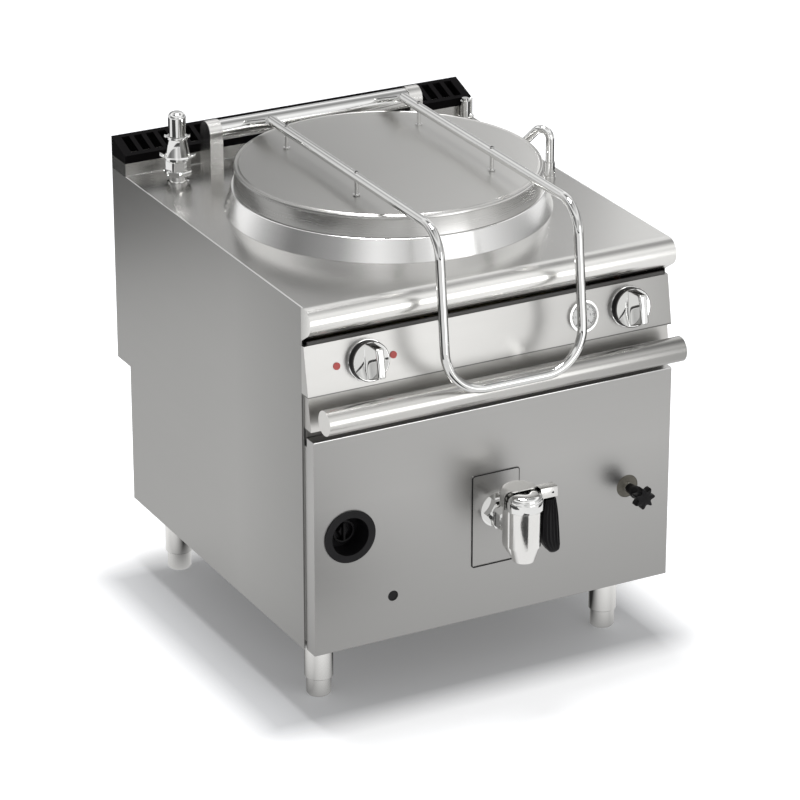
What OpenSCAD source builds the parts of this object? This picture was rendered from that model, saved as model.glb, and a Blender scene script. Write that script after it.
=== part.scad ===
// Gas boiling pan: a free-standing cabinet with a deep round pan, a hinged lid
// with a long tube handle, a drain tap at the front and a gas burner underneath.
// Origin: centre of the overall box, at floor level. +Z up, front towards -Y.

/* [Cabinet] */
// Width over the side panels
body_w = 800; // [720:10:880]
// Height of the worktop above the floor
top_z = 870; // [820:5:920]
// Height of the underside of the cabinet
under_z = 151; // [130:1:180]
// Room between the pan and the side of the cabinet
side_room = 100; // [95:1:115]
// Room in front of the pan, behind the side panel's front edge
front_room = 107; // [100:1:140]
// Room behind the pan
back_room = 153; // [145:1:190]
// Depth of the service recess in the lower rear part
recess_d = 63; // [40:1:70]
// Height of the service recess above the underside
recess_h = 299; // [220:1:350]
// Sheet thickness of the cabinet
sheet = 2; // [1:0.5:3]
// Gap left between separate pieces
gap = 0.3; // [0.1:0.1:0.5]
// Radius of the rounded front edge of the worktop
nose_r = 28.5; // [22:0.5:32]
// Rear edge of the fold under the worktop's front
fold_y = 5.6; // [0:0.2:10]
// Distance of that rear edge below the worktop
fold_drop = 74; // [68:1:85]

/* [Front] */
// Face of the lower front panel, in front of the side panel's edge
door_y = -40; // [-50:1:-38]
// Step between the lower front panel and the side of the cabinet
door_in = 4; // [2:0.5:10]
// Depth of the folded edge of the lower front panel
door_d = 36; // [20:1:36]
// Backward tilt of the control panel
tilt = 10.25; // [5:0.25:15]
// Face of the control panel at the height of its knobs
panel_y = -18.7; // [-25:0.1:-15]
// Height of the control panel
panel_h = 99.5; // [90:0.5:120]
// Distance of the knobs below the control panel's top
knob_drop = 48.2; // [42:0.1:56]
// Height of the set-back band under the control panel
band_h = 67.5; // [60:0.5:80]
// Height of the slot between that band and the lower front panel
slot_h = 18; // [12:1:25]
// Radius of the guard rail
rail_r = 25; // [18:1:28]
// Distance of the guard rail in front of the side panel's edge
rail_y = -78; // [-100:1:-70]
// Height of the guard rail above the set-back band's lower edge
rail_up = 37; // [30:1:40]
// Step between the end of the guard rail and the side of the cabinet
rail_in = 8.5; // [0:0.5:20]

/* [Pan and lid] */
// Height of the inner bottom of the pan
pan_bot = 358; // [330:1:420]
// Height of the collar round the pan
collar_h = 45; // [35:1:60]
// Width of the collar outside the pan
collar_w = 27.7; // [20:0.1:32]
// Overlap of the lid outside the pan
lid_over = 9; // [7:0.5:14]
// Height of the lid's upright wall
lid_h = 43; // [30:1:50]
// Rise of the lid from its edge to its middle
lid_rise = 10; // [8:1:14]
// Outer radius of the lid's tube handle
tube_r = 9.5; // [7:0.5:11]
// Distance of each handle arm from the middle
arm_x = 150; // [120:1:180]
// Height of the handle arms above the lid's middle
arm_lift = 34; // [28:1:45]
// Length of the flattened ends that join the arms to the hinge
pad_len = 115; // [90:1:130]
// Where the lines of arm and leg meet at the front
arm_corner = -79; // [-100:1:-60]
// Forward lean of the handle's legs
leg_lean = 6.5; // [0:0.5:10]
// Distance of the grip bar below the worktop
grip_drop = 189; // [120:1:200]
// Radius of the bend at the front of the arms
bend_r = 60; // [40:1:70]
// Radius of the two corners at the grip bar
corner_r = 85; // [50:1:100]
// Distance of the lid hinge in front of the rear face
hinge_in = 118; // [110:1:125]
// Height of the lid hinge above the collar's top
hinge_up = 40; // [36:1:48]
// Radius of the hinge roller
roller_r = 21; // [18:0.5:23]
// Half length of the hinge roller
roller_hw = 215; // [190:1:240]
// Radius of the fixed hinge shaft
shaft_r = 8; // [6:0.5:10]

/* [Drain tap] */
// Distance of the tap's column in front of the side panel's edge
tap_y = -153.5; // [-170:0.5:-150]
// Height of the drain's middle above the pan's bottom
drain_up = 26.6; // [26:0.1:40]
// Inner radius of the drain way
drain_r = 20; // [15:1:21]
// Radius of the tap's column
column_r = 32.75; // [29:0.25:36]
// Radius of the tap's domed cap
dome_r = 36; // [33:0.5:38]
// Height of the column's top above the drain's middle
tap_up = 45.4; // [40:0.1:60]
// Distance of the column's foot below the drain's middle
column_down = 34.6; // [34:0.1:50]
// Length of the tapered nozzle under the column
nozzle_h = 30; // [20:1:50]

/* [Controls and fittings] */
// Distance of the left control knob from the left side
left_knob_in = 129.7; // [100:0.1:200]
// Distance of the right control knob from the right side
right_knob_in = 93.9; // [80:0.1:120]
// Distance of the pressure gauge from the right side
gauge_in = 197.6; // [170:0.1:250]
// Distance of the outer lamp from the left knob
outer_lamp = 64.6; // [50:0.1:70]
// Distance of the inner lamp from the left knob
inner_lamp = 56.3; // [50:0.1:70]
// Radius of the control knobs
knob_r = 36; // [28:0.5:38]
// Radius of the pressure gauge
gauge_r = 32; // [30:0.5:36]
// Distance of the gas control from the left side
gas_in = 80.5; // [75:0.5:90]
// Height of the gas control above the pan's bottom
gas_up = 35; // [20:1:60]
// Distance of the sight hole from the left side
sight_in = 174; // [160:1:200]
// Distance of the level tap from the right side
level_in = 100; // [90:1:110]
// Height of the level tap above the pan's bottom
level_up = 8.6; // [5:0.1:30]
// Distance of the safety valve from the left side
valve_in = 84; // [70:1:90]
// Distance of the safety valve in front of the rear face
valve_back = 139; // [125:1:145]
// Distance of the water spout from the right side
spout_in = 42.3; // [30:0.1:48]
// Distance of the water spout in front of the pan's middle
spout_front = 22; // [0:1:60]
// Height of the spout's bend above the worktop
spout_h = 102; // [90:1:140]
// Distance of the filler cock from the right side
filler_in = 22; // [20:1:30]
// Distance of the filler cock in front of the rear face
filler_back = 82; // [80:1:100]

/* [Legs] */
// Distance of each leg from the side of the cabinet
leg_in = 75; // [65:1:85]
// Distance of the front legs behind the side panel's front edge
leg_front = 87.5; // [75:0.5:100]
// Distance of the rear legs in front of the rear face
leg_back = 120; // [110:1:130]
// Outer radius of the upper leg tube
leg_tube_r = 28.5; // [27:0.5:32]
// Radius of the screwed foot
foot_r = 25; // [20:0.5:26]
// Lower end of the upper leg tube
leg_bot = 40; // [30:1:50]

/* [Hidden] */
$fn = 72;
hw = body_w / 2;
in_w = hw - sheet - gap;
pan_r = hw - side_room;
pan_y = pan_r + front_room;
rear_y = pan_y + pan_r + back_room;
recess_y = rear_y - recess_d;
recess_z = under_z + recess_h;
nose_z = top_z - nose_r;
fold_z = top_z - fold_drop;
panel_top = fold_z - 5;
panel_bot = panel_top - panel_h;
panel_z = panel_top - knob_drop;
band_top = panel_bot - 2;
band_bot = band_top - band_h;
door_top = band_bot - slot_h;
door_hw = hw - door_in;
rail_z = band_bot + rail_up;
rail_hw = hw - rail_in;
collar_z = top_z + collar_h;
collar_r = pan_r + collar_w;
lid_r = pan_r + lid_over;
lid_wall_z = collar_z + lid_h;
lid_top_z = lid_wall_z + lid_rise;
arm_z = lid_top_z + arm_lift;
hinge_y = rear_y - hinge_in;
hinge_z = collar_z + hinge_up;
arm_back = hinge_y - pad_len;
pad_a = atan2(arm_z - hinge_z - 6, pad_len);
grip_bar_z = top_z - grip_drop;
drain_z = pan_bot + drain_up;
tap_top = drain_z + tap_up;
column_bot = drain_z - column_down;
nozzle_z = column_bot - nozzle_h;
left_knob_x = -hw + left_knob_in;
right_knob_x = hw - right_knob_in;
gauge_x = hw - gauge_in;
lamps_x = [left_knob_x - outer_lamp, left_knob_x + inner_lamp];
gas_x = -hw + gas_in;
gas_z = pan_bot + gas_up;
sight_x = -hw + sight_in;
level_x = hw - level_in;
level_z = pan_bot + level_up;
valve_x = -hw + valve_in;
valve_y = rear_y - valve_back;
spout_x = hw - spout_in;
spout_y = pan_y - spout_front;
spout_z = top_z + spout_h;
filler_x = hw - filler_in;
filler_y = rear_y - filler_back;
leg_x = hw - leg_in;
leg_rear = rear_y - leg_back;
reach_front = dome_r - tap_y;
y0 = (reach_front - rear_y) / 2;
nose_y = door_y + nose_r;
under_a = 238;
vessel_t = 3;
jacket_r = pan_r + 40;
jacket_bot = pan_bot - 48;
jacket_top = top_z - 20;
lag_r = jacket_r + 15;
chamber_r = pan_r + 13;
chamber_bot = under_z + 39;
room = (jacket_bot - chamber_bot) / 120;
burner_z = chamber_bot + 35 * room;
sight_z = chamber_bot + 55 * room;
duct_lo = chamber_bot + 50 * room;
duct_hi = chamber_bot + 100 * room;
burner_step = 80;
bar_front = pan_y - 157;
bar_rear = pan_y + 123;
pipe_x = hw - 55;
gas_in_z = under_z + 89;
water_in_z = under_z + 149;
vent_z = top_z - 80;
feed_z = top_z - 13;
stud_dy = 152;
stud_z = lid_z(norm([arm_x, stud_dy])) + gap;
vent_len = norm([valve_x, valve_y - pan_y]) - jacket_r - 0.7;
riser_y = rear_y - 67;
riser_z = top_z + 27;
slots = floor((hw - 22) / 27);
lean_turn = 90 - leg_lean;
bend_start = arm_corner + bend_r * tan(lean_turn / 2);
leg_end_y = bend_start - bend_r * sin(lean_turn);
leg_end_z = arm_z - bend_r + bend_r * cos(lean_turn);
leg_len = (leg_end_z - grip_bar_z) / cos(leg_lean) - corner_r;
bracket_t = 29;
edge_r = 2.5;
pin_x = 56;
pin_z = tap_top + 27;
bracket_r = 24;
steel = [0.78, 0.78, 0.76];
chrome = [0.88, 0.88, 0.88];
black = [0.09, 0.09, 0.09];

function face_y(z) = panel_y + (z - panel_z) * tan(tilt);
function lid_z(r) = lid_top_z - (lid_rise - 0.6) * pow(r / lid_r, 2);
module placed() { translate([0, y0, 0]) children(); }
module prof_x(x0, x1) { translate([x0, 0, 0]) rotate([90, 0, 90]) linear_extrude(x1 - x0) children(); }
module rod_x(y, z, xa, xb, r) { translate([xa, y, z]) rotate([0, 90, 0]) cylinder(h = xb - xa, r = r); }
module rod_y(x, z, ya, yb, r) { translate([x, yb, z]) rotate([90, 0, 0]) cylinder(h = yb - ya, r = r); }
module rod_z(x, y, za, zb, r) { translate([x, y, za]) cylinder(h = zb - za, r = r); }
module on_panel(x) { translate([x, panel_y, panel_z]) rotate([90 - tilt, 0, 0]) children(); }
module box3(a, b) { translate(a) cube([b[0] - a[0], b[1] - a[1], b[2] - a[2]]); }
module both() { children(); mirror([1, 0, 0]) children(); }
// a half profile with a rounded bottom edge
module pot2d(r, z0, z1, rc) {
  translate([0, z0]) square([r - rc, z1 - z0]);
  translate([0, z0 + rc]) square([r, z1 - z0 - rc]);
  translate([r - rc, z0 + rc]) circle(rc);
}
// a half profile with a rounded top edge
module cap2d(r, z0, z1, rc) {
  translate([0, z0]) square([r - rc, z1 - z0]);
  translate([0, z0]) square([r, z1 - z0 - rc]);
  intersection() {
    translate([r - rc, z1 - rc]) circle(rc);
    translate([0, z0]) square([r, z1 - z0]);
  }
}

module side_sheet() {
  prof_x(0, sheet) polygon([
    [0, under_z], [recess_y, under_z], [recess_y, recess_z], [rear_y, recess_z],
    [rear_y, top_z - sheet], [0, top_z - sheet]]);
}
module side_panel_left() {
  color(steel) placed() translate([-hw, 0, 0]) side_sheet();
}
module side_panel_right() {
  color(steel) placed() translate([hw - sheet, 0, 0]) side_sheet();
}
module rear_panel_upper() {
  color(steel) placed() prof_x(-in_w, in_w) polygon([
    [recess_y, recess_z], [rear_y, recess_z], [rear_y, top_z - sheet - gap],
    [rear_y - sheet, top_z - sheet - gap], [rear_y - sheet, recess_z + sheet], [recess_y, recess_z + sheet]]);
}
module rear_panel_lower() {
  color(steel) placed() difference() {
    box3([-in_w, recess_y - sheet, under_z], [in_w, recess_y, recess_z - gap]);
    rod_y(-pipe_x, gas_in_z, recess_y - 5, recess_y + 5, 10 + gap);
    rod_y(pipe_x, water_in_z, recess_y - 5, recess_y + 5, 9 + gap);
  }
}
module base_frame() {
  color(steel) placed() {
    difference() {
      box3([-in_w, 4, under_z], [in_w, recess_y - sheet - gap, under_z + 35]);
      box3([-in_w + 30, 34, under_z - 1], [in_w - 30, recess_y - 37, under_z + 36]);
    }
    both() {
      box3([hw - 120, 34, under_z], [in_w - 25, leg_front + 47.5, under_z + 6]);
      box3([hw - 120, leg_rear - 50, under_z], [in_w - 25, recess_y - 32, under_z + 6]);
      box3([in_w - 30, -4 + gap, under_z + 35], [in_w, 26, panel_top - 5]);
      box3([in_w - 30, -4 + gap, under_z + 20], [in_w, 6, under_z + 36]);
      box3([in_w - 30, recess_y - 29, under_z + 35], [in_w, recess_y - sheet - gap, top_z - sheet - gap]);
    }
    box3([-in_w + 25, bar_front, under_z], [in_w - 25, bar_front + 30, chamber_bot - gap]);
    box3([-in_w + 25, bar_rear, under_z], [in_w - 25, bar_rear + 30, chamber_bot - gap]);
  }
}
module nose_solid(t) {
  e = nose_r - t;
  translate([nose_y, nose_z]) circle(e, $fn = 120);
  polygon([
    [nose_y, top_z - t], [rear_y + t, top_z - t], [rear_y + t, fold_z - 3 * t],
    [fold_y + t * 0.515, fold_z - 3 * t], [fold_y + t * 0.515, fold_z + t * 0.857],
    [nose_y + e * cos(under_a), nose_z + e * sin(under_a)], [nose_y, nose_z]]);
}
module worktop() {
  color(steel) placed() difference() {
    union() {
      difference() {
        box3([-hw, riser_y, top_z - 1], [hw, rear_y, riser_z]);
        box3([-hw + sheet, riser_y + sheet, top_z - 2], [hw - sheet, rear_y - sheet, riser_z + 1]);
      }
      prof_x(-hw, hw) difference() {
        intersection() {
          nose_solid(0);
          translate([door_y - 1, fold_z - 5]) square([rear_y - door_y + 1, 100]);
        }
        nose_solid(sheet);
      }
      both() prof_x(hw - sheet, hw) intersection() {
        nose_solid(0);
        translate([door_y - 1, fold_z]) square([-door_y + 1 - gap, 100]);
      }
    }
    both() box3([in_w, -gap, fold_z - 10], [hw + 1, rear_y + 1, top_z - sheet]);
    rod_z(0, pan_y, top_z - 10, top_z + 5, pan_r + 4);
    rod_z(valve_x, valve_y, top_z - 10, top_z + 5, 14);
    rod_z(spout_x, spout_y, top_z - 10, top_z + 5, 6);
    box3([-140, riser_y + 13, top_z - 10], [140, rear_y - 10, top_z + 5]);
  }
}
module pan_collar() {
  color(steel) placed() translate([0, pan_y, 0]) rotate_extrude($fn = 180) difference() {
    union() {
      cap2d(collar_r, top_z, collar_z, 12);
      translate([0, top_z]) square([collar_r + 1.6, 2]);
    }
    translate([0, -sheet]) cap2d(collar_r - sheet, top_z - 10, collar_z, 10);
    translate([0, top_z - 20]) square([pan_r + vessel_t + gap, 100]);
  }
}
module drain_hole(r) { rod_y(0, drain_z, -60, pan_y - 50, r); }
module vent_dir() {
  translate([0, pan_y, vent_z]) rotate([0, 0, atan2(valve_y - pan_y, valve_x)]) rotate([0, 90, 0]) children();
}
module inner_vessel() {
  color(steel) placed() difference() {
    union() {
      translate([0, pan_y, 0]) rotate_extrude($fn = 180) pot2d(pan_r + vessel_t, pan_bot - vessel_t, collar_z, 9);
      rod_y(0, drain_z, door_y - 2, pan_y - pan_r, drain_r + 3);
    }
    translate([0, pan_y, 0]) rotate_extrude($fn = 180) pot2d(pan_r, pan_bot, collar_z + 5, 6);
    drain_hole(drain_r);
  }
}
module pan_strainer() {
  color(steel) placed() difference() {
    rod_y(0, drain_z, pan_y - pan_r + 1.6, pan_y - pan_r + 3.6, 25);
    for (a = [0 : 60 : 300]) {
      rod_y(14 * cos(a), drain_z + 14 * sin(a), pan_y - pan_r, pan_y - pan_r + 6, 4);
    }
    rod_y(0, drain_z, pan_y - pan_r, pan_y - pan_r + 6, 4);
  }
}
module jacket_shell() {
  color(steel) placed() difference() {
    translate([0, pan_y, 0]) rotate_extrude($fn = 120) difference() {
      pot2d(jacket_r, jacket_bot, jacket_top, 30);
      pot2d(jacket_r - sheet, jacket_bot + sheet, jacket_top - sheet, 28);
      translate([0, jacket_top - 10]) square([pan_r + vessel_t + gap, 20]);
    }
    drain_hole(drain_r + 3 + gap);
  }
}
module insulation() {
  color([0.85, 0.8, 0.6]) placed() difference() {
    translate([0, pan_y, jacket_bot + 32]) cylinder(h = jacket_top - jacket_bot - 42, r = lag_r, $fn = 120);
    translate([0, pan_y, jacket_bot + 20]) cylinder(h = 600, r = jacket_r + gap, $fn = 120);
    drain_hole(drain_r + 3 + gap);
    rod_y(level_x, level_z, 0, pan_y - 100, 7 + gap);
    vent_dir() cylinder(h = 500, r = 10 + gap);
  }
}
module combustion_chamber() {
  color([0.45, 0.44, 0.42]) placed() difference() {
    rod_z(0, pan_y, chamber_bot, jacket_bot - gap, chamber_r);
    rod_z(0, pan_y, chamber_bot - 1, jacket_bot + 1, chamber_r - 2);
    box3([-190, 60, burner_z - 22], [190, bar_front, burner_z + 24]);
    box3([-sight_dx(), 60, sight_z - 12], [sight_dx(), pan_y, sight_z + 12]);
    box3([-146, pan_y + 200, duct_lo + 4], [146, rear_y, duct_hi - 4]);
  }
}
function sight_dx() = -sight_x + 12;
module burner_tubes() {
  color([0.55, 0.55, 0.52]) placed() difference() {
    union() {
      for (i = [-2 : 2]) {
        rod_y(i * burner_step, burner_z, 100, pan_y + 233, 18);
      }
      box3([-pan_r + 65, bar_front + 12, chamber_bot], [pan_r - 65, bar_front + 28, burner_z - 13]);
      box3([-pan_r + 65, bar_rear + 5, chamber_bot], [pan_r - 65, bar_rear + 21, burner_z - 13]);
    }
    for (i = [-2 : 2]) {
      rod_y(i * burner_step, burner_z, 90, pan_y + 223, 15);
    }
  }
}
module gas_pipes() {
  color([0.8, 0.65, 0.3]) placed() {
    gas_inlet();
    rod_x(60, burner_z - 10, gas_x + 19.5, 2 * burner_step + 30, 10);
    translate([gas_x + 19.5, 60, burner_z - 10]) sphere(11.5);
    rod_z(gas_x + 19.5, 60, burner_z - 10, gas_z - 30 - gap, 10);
    for (i = [-2 : 2]) {
      rod_y(i * burner_step, burner_z - 10, 60, 99, 5);
    }
  }
}
module gas_valve_body() {
  color([0.75, 0.75, 0.73]) placed() {
    box3([gas_x - 40, 12, gas_z - 30], [gas_x + 35, 82, gas_z + 30]);
    rod_y(gas_x, gas_z, 9, 13, 18);
  }
}
module gas_inlet() {
  union() {
    rod_y(-pipe_x, gas_in_z, 50, rear_y - 8, 10);
    translate([-pipe_x, 50, gas_in_z]) sphere(11.5);
    rod_z(-pipe_x, 50, gas_in_z, gas_z - 30 - gap, 10);
    translate([-pipe_x, recess_y + 19, gas_in_z]) rotate([90, 0, 0]) cylinder(h = 16, r = 15, $fn = 6);
  }
}
module water_pipes() {
  color([0.72, 0.45, 0.3]) placed() {
    rod_y(pipe_x, water_in_z, 20, rear_y - 8, 9);
    translate([pipe_x, 20, water_in_z]) sphere(10.5);
    rod_z(pipe_x, 20, water_in_z, panel_z - 7.8, 9);
    translate([pipe_x, 20, panel_z - 7.8]) sphere(10.5);
    rod_x(20, panel_z - 7.8, right_knob_x + 22 + gap, pipe_x, 9);
    translate([pipe_x, recess_y + 19, water_in_z]) rotate([90, 0, 0]) cylinder(h = 16, r = 14, $fn = 6);
    spout_feed();
  }
}
module water_valve_body() {
  color([0.8, 0.65, 0.3]) placed() {
    on_panel(right_knob_x) translate([-22, -22, -58]) cube([44, 44, 38]);
    on_panel(right_knob_x) translate([0, 0, -21]) cylinder(h = 5, r = 12);
    on_panel(left_knob_x) translate([-22, -22, -58]) cube([44, 44, 38]);
    on_panel(left_knob_x) translate([0, 0, -21]) cylinder(h = 5, r = 12);
  }
}
module spout_feed() {
  union() {
    rod_z(right_knob_x, 22, panel_z + 16.2, feed_z, 5);
    translate([right_knob_x, 22, feed_z]) sphere(6);
    rod_x(22, feed_z, right_knob_x, spout_x, 5);
    translate([spout_x, 22, feed_z]) sphere(6);
    rod_y(spout_x, feed_z, 22, spout_y, 5);
    translate([spout_x, spout_y, feed_z]) sphere(6);
    rod_z(spout_x, spout_y, feed_z, top_z - gap, 5);
  }
}
module duct_2d(t) {
  d = sheet + gap + t;
  polygon([
    [pan_y + 193, duct_lo + t], [recess_y - sheet - 2 - t, duct_lo + t], [recess_y - sheet - 2 - t, recess_z + d],
    [rear_y - d, recess_z + d], [rear_y - d, top_z + 20 * t], [rear_y - 60 + t, top_z + 20 * t],
    [recess_y + 3 + t, recess_z + 110 - t], [recess_y - 29 + t, recess_z + 78],
    [recess_y - 29 + t, duct_hi - t], [pan_y + 193, duct_hi - t]]);
}
module flue_duct() {
  color([0.6, 0.6, 0.58]) placed() difference() {
    intersection() {
      prof_x(-150, 150) duct_2d(0);
      box3([-200, 0, 0], [200, rear_y, top_z - sheet - gap]);
    }
    prof_x(-148, 148) duct_2d(sheet);
    rod_z(0, pan_y, 0, 500, chamber_r + gap);
    box3([-200, 0, 0], [200, pan_y, 500]);
  }
}
module flue_grille() {
  difference() {
    prof_x(0.5, hw) polygon([
      [riser_y, riser_z + gap], [riser_y, riser_z + 17], [rear_y, riser_z + 40], [rear_y, riser_z + gap]]);
    prof_x(3.5, hw - 4) polygon([
      [riser_y + 4, riser_z - 1], [riser_y + 4, riser_z + 13], [rear_y - 4, riser_z + 35], [rear_y - 4, riser_z - 1]]);
    for (i = [0 : slots - 1]) {
      box3([14 + 27 * i, riser_y + 9, riser_z - 17], [31 + 27 * i, rear_y - 9, riser_z + 53]);
    }
  }
}
module flue_grille_left() {
  color(black) placed() mirror([1, 0, 0]) flue_grille();
}
module flue_grille_right() {
  color(black) placed() flue_grille();
}
module control_panel() {
  color(steel) placed() difference() {
    union() {
      prof_x(-hw, hw) polygon([
        [face_y(panel_top), panel_top], [face_y(panel_bot), panel_bot], [-4, panel_bot], [-4, panel_bot + sheet],
        [face_y(panel_bot) + sheet * 1.4, panel_bot + sheet], [face_y(panel_top) + sheet * 0.9, panel_top - sheet],
        [-gap, panel_top - sheet], [-gap, panel_top]]);
      both() prof_x(hw - sheet, hw) polygon([
        [face_y(panel_top), panel_top], [face_y(panel_bot), panel_bot], [-gap, panel_bot], [-gap, panel_top]]);
    }
    on_panel(left_knob_x) translate([0, 0, -20]) cylinder(h = 40, r = 6);
    on_panel(right_knob_x) translate([0, 0, -20]) cylinder(h = 40, r = 6);
    on_panel(gauge_x) translate([0, 0, -20]) cylinder(h = 40, r = 26 + gap);
    for (x = lamps_x) {
      on_panel(x) translate([0, 0, -20]) cylinder(h = 40, r = 5 + gap);
    }
  }
}
module recess_panel() {
  color(steel) placed() {
    prof_x(-door_hw, door_hw) polygon([
      [-19, band_top], [-30.8, band_bot], [-4, band_bot], [-4, band_bot + sheet],
      [-28.4, band_bot + sheet], [-17.3, band_top - 2], [-4, band_top - 2], [-4, band_top]]);
    both() prof_x(door_hw - sheet, door_hw) polygon([
      [-19, band_top], [-30.8, band_bot], [-4, band_bot], [-4, band_top]]);
    box3([-door_hw, -10, door_top - 4], [door_hw, -8, band_bot + 1]);
  }
}
module door_2d() {
  translate([door_y, under_z + 1 + edge_r]) square([door_d, door_top - under_z - 1 - 2 * edge_r]);
  translate([door_y + edge_r, under_z + 1]) square([door_d - edge_r, door_top - under_z - 1]);
  translate([door_y + edge_r, under_z + 1 + edge_r]) circle(edge_r, $fn = 48);
  translate([door_y + edge_r, door_top - edge_r]) circle(edge_r, $fn = 48);
}
module front_panel() {
  color(steel) placed() difference() {
    prof_x(-door_hw, door_hw) door_2d();
    box3([-door_hw + sheet, door_y + sheet, under_z + 1 + sheet], [door_hw - sheet, door_y + door_d - sheet, door_top - sheet]);
    box3([-door_hw + 17, door_y + sheet, under_z + 18], [door_hw - 17, door_y + door_d + 1, door_top - 17]);
    box3([-door_hw - 1, door_y + door_d - 8, door_top - 18], [door_hw + 1, door_y + door_d + 1, door_top + 1]);
    rod_y(gas_x, gas_z, -60, 0, 42 + gap);
    rod_y(sight_x, sight_z, -60, 0, 11);
    rod_y(level_x, level_z, -60, 0, 24);
    rod_y(0, drain_z, -60, 0, 30);
  }
}
module guard_rail() {
  color(steel) placed() difference() {
    union() {
      rod_x(rail_y, rail_z, -rail_hw, rail_hw, rail_r);
      both() for (x = [80, rail_hw - 61.5]) {
        rod_y(x, rail_z - 8, rail_y, -10, 9);
      }
    }
    rod_x(rail_y, rail_z, -rail_hw + 2, rail_hw - 2, rail_r - 2);
    prof_x(-hw, hw) polygon([
      [-19 - gap, band_top + 0.5], [-31 - gap, band_bot - 1], [20, band_bot - 1], [20, band_top + 0.5]]);
  }
}
module gas_bezel() {
  color(black) placed() difference() {
    union() {
      rod_y(gas_x, gas_z, door_y - 3, door_y, 54.3);
      rod_y(gas_x, gas_z, door_y - 1, 8, 42);
    }
    rod_y(gas_x, gas_z, door_y - 5, 5.5, 39.4);
    rod_y(gas_x, gas_z, 0, 10, 5 + gap);
  }
}
module gas_knob() {
  color(black) placed() difference() {
    union() {
      rod_y(gas_x, gas_z, -14.3, 5, 23.5);
      rod_y(gas_x, gas_z, 4, 8.7, 5);
    }
    rod_y(gas_x, gas_z, -20, -5, 20.5);
  }
  color(black) placed() difference() {
    box3([gas_x - 3, -17.5, gas_z - 20], [gas_x + 3, -4, gas_z + 20]);
  }
}
module sight_tube() {
  color(black) placed() {
    rod_y(sight_x, sight_z, door_y + sheet, door_y + sheet + 3, 16);
    difference() {
      rod_y(sight_x, sight_z, door_y + sheet + 1, pan_y - 223, 11);
      rod_y(sight_x, sight_z, door_y + sheet + 3, pan_y - 217, 9);
    }
  }
}
module drain_cover_plate() {
  color(steel) placed() difference() {
    box3([-52, door_y - 2, drain_z - 115], [52, door_y, drain_z + 77]);
    rod_y(0, drain_z, -60, 0, drain_r + 3 + gap);
  }
}
module drain_union() {
  color(chrome) placed() difference() {
    union() {
      rod_y(0, drain_z, door_y - 8, door_y - 2, 36);
      translate([0, door_y - 8, drain_z]) rotate([90, 0, 0]) cylinder(h = 24, r = 33, $fn = 6);
      rod_y(0, drain_z, door_y - 40, door_y - 30, 27);
      translate([0, door_y - 40, drain_z]) rotate([90, 30, 0]) cylinder(h = 24, r = 30, $fn = 6);
      rod_y(0, drain_z, tap_y + 30 + gap, door_y - 60, 26);
    }
    rod_y(0, drain_z, -160, 0, drain_r);
  }
}
module drain_tap_body() {
  color(chrome) placed() difference() {
    union() {
      rod_z(0, tap_y, column_bot, tap_top, column_r);
      box3([-column_r, tap_y, column_bot], [column_r, tap_y + 30, tap_top]);
      translate([0, tap_y, nozzle_z]) cylinder(h = nozzle_h, r1 = 22, r2 = column_r);
      prof_x(-22, 22) polygon([
        [tap_y, nozzle_z + 1], [tap_y + 12, nozzle_z + 1], [tap_y + 30, column_bot + 1], [tap_y, column_bot + 1]]);
    }
    box3([-50, tap_y + 30, nozzle_z - 1], [50, tap_y + 50, tap_top + 1]);
    rod_z(0, tap_y, nozzle_z - 1, drain_z + 17.4, drain_r - 2);
    rod_y(0, drain_z, tap_y, tap_y + 40, drain_r - 2);
  }
}
module drain_dome_cap() {
  color(chrome) placed() translate([0, tap_y, 0]) rotate_extrude() cap2d(dome_r, tap_top + gap, tap_top + 32, 15);
}
module lever_2d(r, e) {
  circle(r);
  translate([0, 20]) circle(r + e);
  translate([-r + 1, 0]) square([2 * r - 2, 20]);
}
module drain_lever() {
  color(chrome) placed() difference() {
    union() {
      translate([0, tap_y, tap_top + 3]) linear_extrude(37) lever_2d(40, -2);
      box3([28, tap_y - 12.5, tap_top + 17], [67, tap_y + 12.5, tap_top + 40]);
      rod_y(pin_x, pin_z, tap_y - 13, tap_y + 13, 3);
    }
    rod_z(0, tap_y, tap_top - 1, tap_top + 33, dome_r + 0.7);
    box3([-60, tap_y - 60, tap_top - 30], [31, tap_y - 6, tap_top + 70]);
    difference() {
      box3([40, tap_y - 6.5, tap_top + 10], [75, tap_y + 6.5, tap_top + 37]);
      rod_y(pin_x, pin_z, tap_y - 13.5, tap_y + 13.5, 3);
    }
  }
}
module drain_grip() {
  color(black) placed() difference() {
    union() {
      rod_y(pin_x, pin_z, tap_y - 6, tap_y + 6, 8);
      box3([pin_x - 8, tap_y - 6, tap_top + 5], [pin_x + 8, tap_y + 6, pin_z]);
      translate([0, tap_y + 12, tap_top]) rotate([90, 0, 0]) linear_extrude(24) polygon([
        [42, 11.5], [67, 11.5], [72, -30], [76, -85], [73, -92], [60, -100], [54, -99],
        [37, -80], [37, -30]]);
    }
    rod_y(pin_x, pin_z, tap_y - 20, tap_y + 20, 3.08);
  }
}
module level_tap_body() {
  color(chrome) placed() {
    rod_y(level_x, level_z, door_y + 6, pan_y - 173, 7);
    translate([level_x, 30, level_z]) rotate([90, 0, 0]) cylinder(h = 30, r = 17, $fn = 6);
    rod_y(level_x, level_z, -28, 20, 12);
  }
}
module level_knob() {
  color(black) placed() difference() {
    union() {
      rod_y(level_x, level_z, door_y - 72, door_y + 5.5, 9.5);
      translate([level_x, door_y - 54, level_z]) rotate([90, 0, 0]) linear_extrude(18) star_2d(21, 14.5, 7);
    }
    rod_y(level_x, level_z, door_y - 76, door_y - 68, 5);
  }
}
module star_2d(r1, r2, n) {
  polygon([for (i = [0 : 2 * n - 1]) (i % 2 == 0 ? r1 : r2) * [cos(i * 180 / n + 90), sin(i * 180 / n + 90)]]);
}
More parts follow.
